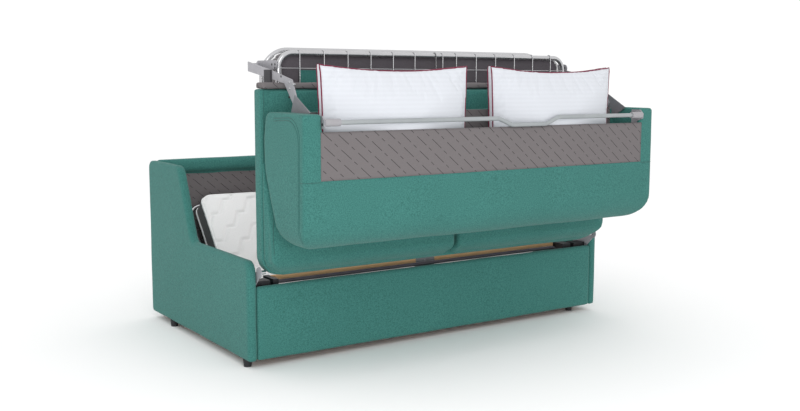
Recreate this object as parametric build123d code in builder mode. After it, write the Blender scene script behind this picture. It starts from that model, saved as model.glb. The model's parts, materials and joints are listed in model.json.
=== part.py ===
from build123d import *
import os
from math import cos, radians, sin, tan

os.makedirs("parts", exist_ok=True)

# A two-seat sofa that unfolds forwards into a bed, shown half unfolded. Millimetres.
# X runs along the sofa, Y from its front to its rear and Z up from the floor.

# Overall sizes
overall_width = 1940
body_depth = 1100
fold_reach = 404
foot_height = 30
arm_thickness = 40
seat_gap = 10
fit_gap = 0.3
pin_gap = 0.05
overrun = 60

# The front panel's face. The folded back reaches further forwards, by fold_reach.
front_y = (fold_reach - body_depth) / 2
rear_y = front_y + body_depth
inner_x = overall_width / 2 - arm_thickness
seat_x = inner_x - seat_gap

# Box of the sofa
arm_low_z = 445
arm_high_z = 775
arm_step_setback = 578
arm_step_y = front_y + arm_step_setback
arm_crest_setback = 718
arm_crest_y = front_y + arm_crest_setback
arm_front_radius = 45
arm_step_radius = 50
arm_crest_radius = 60
arm_rear_radius = 30
arm_edge_radius = 7
panel_thickness = 30
panel_top_z = 330
wall_thickness = 22
wall_top_z = 712
roll_depth = 50
roll_top_z = 779
roll_radius = 24
lining_thickness = 3
lining_bottom_z = 60
base_thickness = 8
foot_radius = 19
foot_front_setback = 62
foot_front_y = front_y + foot_front_setback
foot_rear_setback = 862
foot_rear_y = front_y + foot_rear_setback
foot_left_inset = 22
foot_right_inset = 122
foot_taper = 3

# Main pivot of the seat, low at the front
seat_pivot_reach = 15
seat_pivot_y = front_y - seat_pivot_reach
seat_pivot_z = 400
seat_pin_radius = 8
seat_pin_depth = 20

# Seat, standing on its front edge
seat_bottom_z = 378
seat_top_z = 1130
seat_back_setback = 30
seat_back_y = front_y + seat_back_setback
seat_core_reach = 30
seat_core_y = front_y - seat_core_reach
seat_lip_reach = 120
seat_lip_y = front_y - seat_lip_reach
seat_face_reach = 47
seat_face_y = front_y - seat_face_reach
seat_lip_top_z = 500
seat_waist_z = 850
seat_lip_radius = 70
seat_corner_radius = 85
cushion_split = 3
cushion_draw_in = 9
end_lining_height = 25

# Back, folded against the seat
back_pivot_reach = 125
back_pivot_y = front_y - back_pivot_reach
back_pivot_z = 970
back_side_gap = 6.5
back_x = inner_x - back_side_gap
back_rear_reach = 385
back_rear_y = front_y - back_rear_reach
back_bottom_z = 535
back_top_z = 1042
back_low_reach = 185
back_low_y = front_y - back_low_reach
back_knee_reach = 62
back_knee_y = front_y - back_knee_reach
back_knee_z = 815
back_belly_reach = 52
back_belly_y = front_y - back_belly_reach
back_belly_z = 932
back_crest_reach = 81
back_crest_y = front_y - back_crest_reach
back_rear_radius = 118
back_low_radius = 90
back_knee_radius = 200
back_belly_radius = 150
back_crest_radius = 38
back_corner_radius = 90
back_edge_radius = 12
cheek_thickness = 80
pocket_floor_z = 722
pocket_pad_reach = 205
pocket_pad_y = front_y - pocket_pad_reach
slot_width = 18
back_lining_x = 850
slot_floor_z = 780
back_lining_low_z = 794
back_lining_high_z = 975
back_lining_thickness = 6
liner_thickness = 2

# Bar across the back and its holders
bar_reach = 390
bar_y = front_y - bar_reach
bar_z = 1010
bar_radius = 9
bar_dip = 28
bar_dip_left_x = 60
bar_dip_right_x = 250
bar_dip_run = 70
bar_bend_radius = 40
sleeve_radius = 14
sleeve_length = 66
bar_bracket_thickness = 4

# Corners of the bar's brackets, as distance behind the bar and height above it
bar_bracket_points = ((60, 24), (8, 24), (-10, 6), (-8, -16), (26, -28), (34, -110), (60, -110))

# Pillows
pillow_width = 700
pillow_height = 500
pillow_bottom_z = pocket_floor_z + liner_thickness + fit_gap
pillow_left_x = -460
pillow_right_x = 364
pillow_front_reach = 366
pillow_front_y = front_y - pillow_front_reach
pillow_depth = 150
pillow_edge_depth = 26
pillow_dip = 26

# Foot frame with its net, and the guard hoop round the mattress
tube_radius = 11
frame_half_width = 783
frame_setback = 80
frame_y = front_y + frame_setback
frame_top_z = 1274
frame_bottom_z = 580
frame_corner_radius = 65
net_thickness = 3
net_wire = 4
net_columns = 14
net_rows = 12
hoop_setback = 230
hoop_y = front_y + hoop_setback
hoop_top_z = 1290
hoop_leg_z = 1130
hoop_corner_radius = 120
guard_strip_low_z = 1203
guard_strip_high_z = 1239
guard_strip_thickness = 3
hoop_plate_thickness = 4
hoop_plate_radius = 19
hoop_plate_z = 1225
side_arm_x = 837.3
side_arm_thickness = 5
side_arm_depth = 60
side_arm_bottom_z = 450
side_arm_top_z = 1205
link_plate_x = 832
link_plate_thickness = 5
gusset_x = 838
gusset_thickness = 4
spacer_radius = 9
back_pin_radius = 6
back_plate_radius = 18
back_plate_neck = 17
gusset_drop = 5

# Corners of the link plates and gussets, as distance behind the front panel's face and height
link_crown_points = ((31, 1202), (-137, 1166), (-191, 1062))
link_root_points = ((-155, 1062), (-75, 1152), (32, 1168))
link_rear_high_z = 1240
link_rear_low_z = 1200
gusset_points = ((-168, 1108), (-288, 1043), (-270, 1028))

# Mattress in three sections
mattress_thickness = 95
mattress_half_width = 770
mattress_edge_radius = 22
mattress_gap = 0.5
foot_mattress_low_z = 558

# Head section, hung near the rear wall, and the middle section below it
head_pivot_setback = 985
head_pivot_y = front_y + head_pivot_setback
head_pivot_z = 482
head_lean = 40
head_length = 400
head_overhang = 78
bed_tube_radius = 10
bed_half_width = 800
bed_corner_radius = 70
bed_net_columns = 14
bed_net_rows = 4
bed_end_gap = 30
middle_length = 430
middle_mattress_overhang = 140
bed_pin_radius = 6
lug_thickness = 8
lug_radius = 14
head_bracket_thickness = 5
head_bracket_height = 60
head_bracket_nose = 22

# Front rail, slats and their hardware
rail_setback = 105
rail_y = front_y + rail_setback
rail_depth = 35
rail_bottom_z = 262
rail_height = 27
slat_setback = 116
slat_y = front_y + slat_setback
slat_thickness = 12
slat_bottom_z = 329
slat_height = 24
slat_left_x = -810
slat_right_x = 780
bracket_left_x = -70
bracket_right_x = 36
bracket_hole_radius = 5
holder_outer_x = 834
holder_front_setback = 46
holder_front_y = front_y + holder_front_setback
front_tube_setback = 60
front_tube_y = front_y + front_tube_setback
front_tube_z = 338
front_tube_radius = 8
front_tube_hook_x = 742
front_tube_hook_drop = 40
front_tube_bend = 22
pivot_block_x = 852
pivot_block_setback = 40
pivot_block_y = front_y + pivot_block_setback
pivot_block_depth = 55
pivot_block_bottom_z = 292
pivot_block_height = 60
boss_radius = 17
boss_height = 6
hinge_plate_thickness = 4
hinge_plate_radius = 22
hinge_plate_rear_setback = 122
hinge_plate_rear_y = front_y + hinge_plate_rear_setback
hinge_plate_low_z = 290

sides = ((-1, "left"), (1, "right"))


def start_x(side, inner, thickness):
    """The lower X of a plate whose inner face is at this distance from the middle."""
    return inner if side > 0 else -inner - thickness


def save(part, label):
    """Name a finished piece and write it to its own file."""
    part.label = label
    export_step(part, "parts/" + label + ".step")


# Arms: upholstered panels, high at the rear and low at the front
for side, side_name in sides:
    with BuildPart() as arm:
        with BuildSketch(Plane.YZ.offset(start_x(side, inner_x, arm_thickness))):
            with BuildLine():
                FilletPolyline(
                    (front_y, foot_height), (front_y, arm_low_z), (arm_step_y, arm_low_z),
                    (arm_crest_y, arm_high_z), (rear_y, arm_high_z), (rear_y, foot_height),
                    radius=(arm_front_radius, arm_step_radius, arm_crest_radius, arm_rear_radius),
                )
                Line((rear_y, foot_height), (front_y, foot_height))
            make_face()
        extrude(amount=arm_thickness)
        outer_face = arm.faces().sort_by(Axis.X)[0 if side < 0 else -1]
        fillet(outer_face.edges(), radius=arm_edge_radius)
    save(arm.part, side_name + "_arm")

# Front panel between the arms
with BuildPart() as front_panel:
    with BuildSketch(Plane.YZ.offset(-inner_x)):
        with Locations((front_y, foot_height)):
            Rectangle(panel_thickness, panel_top_z - foot_height, align=(Align.MIN, Align.MIN))
    extrude(amount=2 * inner_x)
    fillet(front_panel.faces().sort_by(Axis.Y)[0].edges().sort_by(Axis.Z)[-1], radius=arm_edge_radius)
    fillet(front_panel.faces().sort_by(Axis.Y)[0].edges().sort_by(Axis.Z)[0], radius=arm_edge_radius)
save(front_panel.part, "front_panel")

# Rear wall, its padded roll and the lining on its inner face
wall_y = rear_y - wall_thickness
with BuildPart() as rear_wall:
    with BuildSketch(Plane.YZ.offset(-inner_x)):
        with Locations((wall_y, foot_height)):
            Rectangle(wall_thickness, wall_top_z - foot_height, align=(Align.MIN, Align.MIN))
    extrude(amount=2 * inner_x)
save(rear_wall.part, "rear_wall")

with BuildPart() as rear_roll:
    with BuildSketch(Plane.YZ.offset(-inner_x)):
        with Locations((rear_y - roll_depth, wall_top_z)):
            RectangleRounded(roll_depth, roll_top_z - wall_top_z, roll_radius, align=(Align.MIN, Align.MIN))
        with Locations((wall_y, wall_top_z)):
            Rectangle(wall_thickness, roll_radius, align=(Align.MIN, Align.MIN))
    extrude(amount=2 * inner_x)
save(rear_roll.part, "rear_roll")

with BuildPart() as rear_lining:
    with BuildSketch(Plane.YZ.offset(-inner_x)):
        with Locations((wall_y - lining_thickness, lining_bottom_z)):
            Rectangle(lining_thickness, wall_top_z - lining_bottom_z, align=(Align.MIN, Align.MIN))
    extrude(amount=2 * inner_x)
save(rear_lining.part, "rear_lining")

# Base board and feet
with BuildPart() as base_board:
    with BuildSketch(Plane.YZ.offset(-inner_x)):
        with Locations((front_y + panel_thickness, foot_height)):
            Rectangle(
                body_depth - panel_thickness - wall_thickness, base_thickness, align=(Align.MIN, Align.MIN)
            )
    extrude(amount=2 * inner_x)
save(base_board.part, "base_board")

for foot_name, foot_x, foot_y in (
    ("front_left_foot", foot_left_inset - overall_width / 2, foot_front_y),
    ("rear_left_foot", foot_left_inset - overall_width / 2, foot_rear_y),
    ("front_right_foot", overall_width / 2 - foot_right_inset, foot_front_y),
    ("rear_right_foot", overall_width / 2 - foot_right_inset, foot_rear_y),
):
    with BuildPart() as foot:
        with BuildSketch(Plane.XY):
            with Locations((foot_x, foot_y)):
                Circle(foot_radius - foot_taper)
        with BuildSketch(Plane.XY.offset(foot_height)):
            with Locations((foot_x, foot_y)):
                Circle(foot_radius)
        loft(ruled=True)
    save(foot.part, foot_name)

# Front rail across the box, with two slats, their centre bracket and end holders
rail_top_z = rail_bottom_z + rail_height
with BuildPart() as front_rail:
    with BuildSketch(Plane.YZ.offset(-inner_x)):
        with Locations((rail_y, rail_bottom_z)):
            Rectangle(rail_depth, rail_height, align=(Align.MIN, Align.MIN))
    extrude(amount=2 * inner_x)
save(front_rail.part, "front_rail")

slat_ranges = (
    ("left_slat", slat_left_x, bracket_left_x - fit_gap),
    ("right_slat", bracket_right_x + fit_gap, slat_right_x),
)
for slat_name, slat_low_x, slat_high_x in slat_ranges:
    with BuildPart() as slat:
        with BuildSketch(Plane.YZ.offset(slat_low_x)):
            with Locations((slat_y, slat_bottom_z)):
                Rectangle(slat_thickness, slat_height, align=(Align.MIN, Align.MIN))
        extrude(amount=slat_high_x - slat_low_x)
    save(slat.part, slat_name)

slat_top_z = slat_bottom_z + slat_height
bracket_height = slat_top_z - rail_top_z
with BuildPart() as slat_bracket:
    with BuildSketch(Plane.XZ.offset(-slat_y)):
        with Locations((bracket_left_x, rail_top_z)):
            Rectangle(bracket_right_x - bracket_left_x, bracket_height, align=(Align.MIN, Align.MIN))
        with Locations(((bracket_left_x + bracket_right_x) / 2, slat_bottom_z + slat_height / 2)):
            Circle(bracket_hole_radius, mode=Mode.SUBTRACT)
    extrude(amount=-slat_thickness)
save(slat_bracket.part, "slat_bracket")

with BuildPart() as slat_holders:
    for side, side_name in sides:
        holder_inner_x = fit_gap + (slat_right_x if side > 0 else -slat_left_x)
        with BuildSketch(Plane.YZ.offset(start_x(side, holder_inner_x, holder_outer_x - holder_inner_x))):
            with Locations((holder_front_y, rail_top_z)):
                Rectangle(
                    rail_y + rail_depth - holder_front_y, bracket_height, align=(Align.MIN, Align.MIN)
                )
        extrude(amount=holder_outer_x - holder_inner_x)
save(slat_holders.part, "slat_holders")

with BuildPart() as front_tube:
    with BuildLine() as front_tube_line:
        FilletPolyline(
            (slat_left_x, front_tube_y, front_tube_z),
            (front_tube_hook_x, front_tube_y, front_tube_z),
            (front_tube_hook_x, front_tube_y, front_tube_z - front_tube_hook_drop),
            radius=front_tube_bend,
        )
    with BuildSketch(Plane.YZ.offset(slat_left_x)):
        with Locations((front_tube_y, front_tube_z)):
            Circle(front_tube_radius)
    sweep(path=front_tube_line.wires()[0])
save(front_tube.part, "front_tube")

# Hinge plates on the arms, which carry the seat's pins, and the black blocks beside them
for side, side_name in sides:
    plate_inner_x = inner_x - fit_gap - hinge_plate_thickness
    with BuildPart() as hinge_plate:
        with BuildSketch(Plane.YZ.offset(start_x(side, plate_inner_x, hinge_plate_thickness))):
            with BuildLine():
                Polyline(
                    (front_y + panel_thickness, hinge_plate_low_z),
                    (hinge_plate_rear_y, hinge_plate_low_z),
                    (hinge_plate_rear_y, slat_top_z),
                    (seat_pivot_y + hinge_plate_radius, seat_pivot_z),
                    (seat_pivot_y, seat_pivot_z - hinge_plate_radius),
                    (front_y + panel_thickness, panel_top_z + fit_gap),
                    (front_y + panel_thickness, hinge_plate_low_z),
                )
            make_face()
            with Locations((seat_pivot_y, seat_pivot_z)):
                Circle(hinge_plate_radius)
        extrude(amount=hinge_plate_thickness)
    save(hinge_plate.part, side_name + "_hinge_plate")

    block_width = plate_inner_x - pivot_block_x
    block_front_x = start_x(side, pivot_block_x, block_width)
    boss_z = pivot_block_bottom_z + pivot_block_height / 2
    with BuildPart() as pivot_block:
        with BuildSketch(Plane.YZ.offset(block_front_x)):
            with Locations((pivot_block_y, pivot_block_bottom_z)):
                Rectangle(pivot_block_depth, pivot_block_height, align=(Align.MIN, Align.MIN))
        extrude(amount=block_width)
        with BuildSketch(Plane.XZ.offset(-pivot_block_y)):
            with Locations((block_front_x + block_width / 2, boss_z)):
                Circle(boss_radius)
        extrude(amount=boss_height)
    save(pivot_block.part, side_name + "_pivot_block")

# Seat box, the upholstered board behind the cushions, rounded at its lower corners
with BuildPart() as seat_box:
    with BuildSketch(Plane.XZ.offset(-seat_core_y)):
        with BuildLine():
            FilletPolyline(
                (-seat_x, seat_top_z), (-seat_x, seat_bottom_z),
                (seat_x, seat_bottom_z), (seat_x, seat_top_z),
                radius=seat_corner_radius,
            )
            Line((seat_x, seat_top_z), (-seat_x, seat_top_z))
        make_face()
    extrude(amount=seat_core_y - seat_back_y)
    for side, side_name in sides:
        hole_depth = seat_pin_depth + fit_gap
        with BuildSketch(Plane.YZ.offset(start_x(side, seat_x - hole_depth, hole_depth))):
            with Locations((seat_pivot_y, seat_pivot_z)):
                Circle(seat_pin_radius + pin_gap)
        extrude(amount=hole_depth, mode=Mode.SUBTRACT)
save(seat_box.part, "seat_box")

# Two seat cushions. Each stands proud in the middle and is drawn in at its sides.
cushion_stations = (
    (cushion_split / 2, cushion_draw_in + cushion_split),
    (cushion_split / 2 + seat_corner_radius, cushion_split),
    (seat_x / 2, 0),
    (seat_x - seat_corner_radius, cushion_split),
    (seat_x, cushion_draw_in + cushion_split),
)
for side, side_name in sides:
    with BuildPart() as seat_cushion:
        for station_x, inset in cushion_stations:
            with BuildSketch(Plane.YZ.offset(side * station_x)):
                with BuildLine():
                    FilletPolyline(
                        (seat_core_y, seat_bottom_z),
                        (seat_lip_y + inset, seat_bottom_z),
                        (seat_lip_y + inset, seat_lip_top_z),
                        (seat_face_y + inset, seat_waist_z),
                        (seat_face_y + inset, seat_top_z),
                        radius=(seat_lip_radius, seat_lip_radius, seat_lip_radius),
                    )
                    Line((seat_face_y + inset, seat_top_z), (seat_core_y, seat_top_z))
                    Line((seat_core_y, seat_top_z), (seat_core_y, seat_bottom_z))
                make_face()
        loft()
        with BuildSketch(Plane.XZ.offset(-seat_core_y - overrun)):
            with BuildLine():
                FilletPolyline(
                    (0, seat_top_z + overrun), (0, seat_bottom_z),
                    (side * seat_x, seat_bottom_z), (side * seat_x, seat_top_z + overrun),
                    radius=(seat_corner_radius / 2, seat_corner_radius),
                )
                Line((side * seat_x, seat_top_z + overrun), (0, seat_top_z + overrun))
            make_face()
        extrude(amount=seat_core_y - seat_lip_y + 2 * overrun, mode=Mode.INTERSECT)
    save(seat_cushion.part, side_name + "_seat_cushion")

# Lining over the seat's upper end
with BuildPart() as seat_end_lining:
    with BuildSketch(Plane.YZ.offset(cushion_draw_in - seat_x)):
        with BuildLine():
            FilletPolyline(
                (seat_core_y - cushion_draw_in, seat_top_z),
                (seat_core_y - cushion_draw_in, seat_top_z + end_lining_height),
                (seat_back_y, seat_top_z + end_lining_height),
                (seat_back_y, seat_top_z),
                radius=end_lining_height / 3,
            )
            Line((seat_back_y, seat_top_z), (seat_core_y - cushion_draw_in, seat_top_z))
        make_face()
    extrude(amount=2 * (seat_x - cushion_draw_in))
save(seat_end_lining.part, "seat_end_lining")

# Foot frame: a closed loop of tube with a net of wires
foot_frame_middle_z = (frame_top_z + frame_bottom_z) / 2
foot_frame_half_height = (frame_top_z - frame_bottom_z) / 2
foot_plane = Plane(origin=(0, frame_y, foot_frame_middle_z), x_dir=(1, 0, 0), z_dir=(0, -1, 0))
with BuildPart() as foot_frame:
    with BuildLine(foot_plane) as foot_frame_line:
        FilletPolyline(
            (frame_half_width, foot_frame_half_height),
            (frame_half_width, -foot_frame_half_height),
            (-frame_half_width, -foot_frame_half_height),
            (-frame_half_width, foot_frame_half_height),
            radius=frame_corner_radius,
            close=True,
        )
    foot_frame_path = foot_frame_line.wires()[0]
    with BuildSketch(Plane(foot_frame_path @ 0, z_dir=foot_frame_path % 0)):
        Circle(tube_radius)
    sweep(path=foot_frame_path)
save(foot_frame.part, "foot_frame")

net_inset = tube_radius + fit_gap
with BuildPart() as foot_net:
    with BuildSketch(foot_plane):
        net_half_width = frame_half_width - net_inset
        net_half_height = foot_frame_half_height - net_inset
        column_pitch = 2 * net_half_width / net_columns
        row_pitch = 2 * net_half_height / net_rows
        RectangleRounded(2 * net_half_width, 2 * net_half_height, frame_corner_radius - net_inset)
        with GridLocations(column_pitch, row_pitch, net_columns, net_rows):
            Rectangle(column_pitch - net_wire, row_pitch - net_wire, mode=Mode.SUBTRACT)
    extrude(amount=net_thickness / 2, both=True)
save(foot_net.part, "foot_net")

# Guard hoop behind the foot frame, its flat strip, and the plates that hold it
with BuildPart() as guard_hoop:
    with BuildLine(Plane.XZ.offset(-hoop_y)) as guard_hoop_line:
        FilletPolyline(
            (-frame_half_width, hoop_leg_z),
            (-frame_half_width, hoop_top_z),
            (frame_half_width, hoop_top_z),
            (frame_half_width, hoop_leg_z),
            radius=hoop_corner_radius,
        )
    with BuildSketch(Plane.XY.offset(hoop_leg_z)):
        with Locations((-frame_half_width, hoop_y)):
            Circle(tube_radius)
    sweep(path=guard_hoop_line.wires()[0])
save(guard_hoop.part, "guard_hoop")

strip_y = hoop_y + tube_radius + fit_gap
with BuildPart() as guard_strip:
    with BuildSketch(Plane.XZ.offset(-strip_y)):
        with Locations((0, (guard_strip_low_z + guard_strip_high_z) / 2)):
            Rectangle(2 * (frame_half_width + tube_radius), guard_strip_high_z - guard_strip_low_z)
    extrude(amount=-guard_strip_thickness)
save(guard_strip.part, "guard_strip")

hoop_plate_x = frame_half_width + tube_radius + fit_gap
for side, side_name in sides:
    with BuildPart() as hoop_plate:
        with BuildSketch(Plane.YZ.offset(start_x(side, hoop_plate_x, hoop_plate_thickness))):
            with Locations(((frame_y + hoop_y) / 2, hoop_plate_z)):
                SlotCenterToCenter(hoop_y - frame_y, 2 * hoop_plate_radius)
        extrude(amount=hoop_plate_thickness)
    save(hoop_plate.part, side_name + "_hoop_plate")

# Side arms along the seat, link plates over its end, and gussets, to the back's pivot
link_rear_y = hoop_y + hoop_plate_radius
link_outline = (
    [(link_rear_y, link_rear_high_z)]
    + [(front_y + depth, height) for depth, height in link_crown_points]
    + [(back_pivot_y - back_plate_neck, back_pivot_z), (back_pivot_y + back_plate_neck, back_pivot_z)]
    + [(front_y + depth, height) for depth, height in link_root_points]
    + [(link_rear_y, link_rear_low_z)]
)
gusset_outline = [(front_y + depth, height) for depth, height in gusset_points] + [
    (back_pivot_y - back_plate_neck, back_pivot_z - gusset_drop),
    (back_pivot_y + back_plate_neck, back_pivot_z),
]
for side, side_name in sides:
    with BuildPart() as side_arm:
        with BuildSketch(Plane.YZ.offset(start_x(side, side_arm_x, side_arm_thickness))):
            with Locations((seat_back_y + fit_gap, side_arm_bottom_z)):
                Rectangle(side_arm_depth, side_arm_top_z - side_arm_bottom_z, align=(Align.MIN, Align.MIN))
        extrude(amount=side_arm_thickness)
    save(side_arm.part, side_name + "_side_arm")

    with BuildPart() as link_plate:
        with BuildSketch(Plane.YZ.offset(start_x(side, link_plate_x, link_plate_thickness))):
            with BuildLine():
                Polyline(*link_outline, close=True)
            make_face()
            with Locations((back_pivot_y, back_pivot_z)):
                Circle(back_plate_radius)
                Circle(back_pin_radius + pin_gap, mode=Mode.SUBTRACT)
        extrude(amount=link_plate_thickness)
    save(link_plate.part, side_name + "_link_plate")

    with BuildPart() as gusset_plate:
        with BuildSketch(Plane.YZ.offset(start_x(side, gusset_x, gusset_thickness))):
            with BuildLine():
                Polyline(*gusset_outline, close=True)
            make_face()
            with Locations((back_pivot_y, back_pivot_z)):
                Circle(back_plate_radius)
                Circle(back_pin_radius + pin_gap, mode=Mode.SUBTRACT)
        extrude(amount=gusset_thickness)
    save(gusset_plate.part, side_name + "_gusset_plate")

spacer_rows = (
    (hoop_plate_x + hoop_plate_thickness + fit_gap, link_plate_x - fit_gap, hoop_y, hoop_plate_z),
    (hoop_plate_x, side_arm_x - fit_gap, frame_y, side_arm_bottom_z + 4 * side_arm_depth),
)
with BuildPart() as frame_spacers:
    for side, side_name in sides:
        for inner, outer, spacer_y, spacer_z in spacer_rows:
            with BuildSketch(Plane.YZ.offset(start_x(side, inner, outer - inner))):
                with Locations((spacer_y, spacer_z)):
                    Circle(spacer_radius)
            extrude(amount=outer - inner)
save(frame_spacers.part, "frame_spacers")

# Foot section of the mattress, on the far side of the foot frame
with BuildPart() as foot_mattress:
    with BuildSketch(Plane.XZ.offset(-frame_y - tube_radius - fit_gap)):
        with Locations((0, foot_mattress_low_z)):
            Rectangle(
                2 * mattress_half_width,
                frame_top_z - foot_mattress_low_z,
                align=(Align.CENTER, Align.MIN),
            )
    extrude(amount=-mattress_thickness)
    fillet(foot_mattress.edges(), radius=mattress_edge_radius)
save(foot_mattress.part, "foot_mattress")

# Back: padded shell with a pocket for the pillows, open upwards in this pose
pocket_x = back_x - cheek_thickness
rear_skin_y = back_rear_y + back_lining_thickness
pocket_rear_y = rear_skin_y + 3 * lining_thickness
with BuildPart() as back_shell:
    with BuildSketch(Plane.YZ.offset(-back_x)):
        with BuildLine():
            FilletPolyline(
                (back_rear_y, back_top_z),
                (back_rear_y, back_bottom_z),
                (back_low_y, back_bottom_z),
                (back_knee_y, back_knee_z),
                (back_belly_y, back_belly_z),
                (back_crest_y, back_top_z),
                radius=(
                    back_edge_radius, back_rear_radius, back_low_radius, back_knee_radius,
                    back_belly_radius, back_crest_radius,
                ),
                close=True,
            )
        make_face()
    extrude(amount=2 * back_x)
    with BuildSketch(Plane.XZ.offset(-back_belly_y - overrun)):
        with BuildLine():
            FilletPolyline(
                (-back_x, back_top_z + overrun), (-back_x, back_bottom_z),
                (back_x, back_bottom_z), (back_x, back_top_z + overrun),
                radius=back_corner_radius,
            )
            Line((back_x, back_top_z + overrun), (-back_x, back_top_z + overrun))
        make_face()
    extrude(amount=back_belly_y - back_rear_y + 2 * overrun, mode=Mode.INTERSECT)
    # Pocket between the cheeks, its low rear edge, and the seat for the lining panel
    with BuildSketch(Plane.XY.offset(pocket_floor_z)):
        with Locations((0, pocket_rear_y)):
            Rectangle(2 * pocket_x, pocket_pad_y - pocket_rear_y, align=(Align.CENTER, Align.MIN))
    extrude(amount=back_top_z - pocket_floor_z + overrun, mode=Mode.SUBTRACT)
    with BuildSketch(Plane.XY.offset(back_lining_high_z)):
        with Locations((0, back_rear_y - overrun)):
            Rectangle(2 * pocket_x, pocket_pad_y - back_rear_y + overrun, align=(Align.CENTER, Align.MIN))
    extrude(amount=back_top_z - back_lining_high_z + overrun, mode=Mode.SUBTRACT)
    with BuildSketch(Plane.XY.offset(back_lining_low_z)):
        with Locations((0, back_rear_y)):
            Rectangle(2 * back_lining_x, back_lining_thickness, align=(Align.CENTER, Align.MIN))
    extrude(amount=back_lining_high_z - back_lining_low_z, mode=Mode.SUBTRACT)
    # Slots beside the cheeks, where the link plates swing
    for side, side_name in sides:
        with BuildSketch(Plane.YZ.offset(start_x(side, pocket_x - slot_width, slot_width))):
            with Locations((pocket_pad_y, slot_floor_z)):
                Rectangle(
                    back_belly_y - pocket_pad_y + overrun,
                    back_top_z - slot_floor_z + overrun,
                    align=(Align.MIN, Align.MIN),
                )
        extrude(amount=slot_width, mode=Mode.SUBTRACT)
save(back_shell.part, "back_shell")

with BuildPart() as back_lining:
    with BuildSketch(Plane.XY.offset(back_lining_low_z)):
        with Locations((0, back_rear_y)):
            Rectangle(2 * back_lining_x, back_lining_thickness, align=(Align.CENTER, Align.MIN))
    extrude(amount=back_lining_high_z - back_lining_low_z)
    lining_top_face = back_lining.faces().sort_by(Axis.Z)[-1]
    fillet(lining_top_face.edges().filter_by(Axis.X), radius=back_lining_thickness / 3)
save(back_lining.part, "back_lining")

liner_x = pocket_x - slot_width
with BuildPart() as pocket_liner:
    with BuildSketch(Plane.YZ.offset(-liner_x)):
        with Locations((pocket_rear_y, pocket_floor_z)):
            Rectangle(pocket_pad_y - pocket_rear_y, liner_thickness, align=(Align.MIN, Align.MIN))
        with Locations((pocket_pad_y - liner_thickness, pocket_floor_z)):
            Rectangle(liner_thickness, back_top_z - pocket_floor_z, align=(Align.MIN, Align.MIN))
    extrude(amount=2 * liner_x)
save(pocket_liner.part, "pocket_liner")

# Bar across the pocket's mouth, its sleeves and the brackets on the cheeks
bracket_x = pocket_x - fit_gap - bar_bracket_thickness
bar_end_x = bracket_x - fit_gap
with BuildPart() as support_bar:
    with BuildLine() as support_bar_line:
        FilletPolyline(
            (-bar_end_x, bar_y, bar_z),
            (bar_dip_left_x - bar_dip_run, bar_y, bar_z),
            (bar_dip_left_x, bar_y, bar_z - bar_dip),
            (bar_dip_right_x, bar_y, bar_z - bar_dip),
            (bar_dip_right_x + bar_dip_run, bar_y, bar_z),
            (bar_end_x, bar_y, bar_z),
            radius=bar_bend_radius,
        )
    with BuildSketch(Plane.YZ.offset(-bar_end_x)):
        with Locations((bar_y, bar_z)):
            Circle(bar_radius)
    sweep(path=support_bar_line.wires()[0])
save(support_bar.part, "support_bar")

bracket_outline = [(bar_y + depth, bar_z + height) for depth, height in bar_bracket_points]
for side, side_name in sides:
    with BuildPart() as bar_sleeve:
        with BuildSketch(Plane.YZ.offset(start_x(side, bar_end_x - sleeve_length, sleeve_length))):
            with Locations((bar_y, bar_z)):
                Circle(sleeve_radius)
                Circle(bar_radius + pin_gap, mode=Mode.SUBTRACT)
        extrude(amount=sleeve_length)
    save(bar_sleeve.part, side_name + "_bar_sleeve")

    with BuildPart() as bar_bracket:
        with BuildSketch(Plane.YZ.offset(start_x(side, bracket_x, bar_bracket_thickness))):
            with BuildLine():
                Polyline(*bracket_outline, close=True)
            make_face()
        extrude(amount=bar_bracket_thickness)
    save(bar_bracket.part, side_name + "_bar_bracket")

with BuildPart() as back_pins:
    for side, side_name in sides:
        back_pin_inner = link_plate_x - fit_gap
        with BuildSketch(Plane.YZ.offset(start_x(side, back_pin_inner, pocket_x - back_pin_inner))):
            with Locations((back_pivot_y, back_pivot_z)):
                Circle(back_pin_radius)
        extrude(amount=pocket_x - back_pin_inner)
save(back_pins.part, "back_pins")

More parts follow.
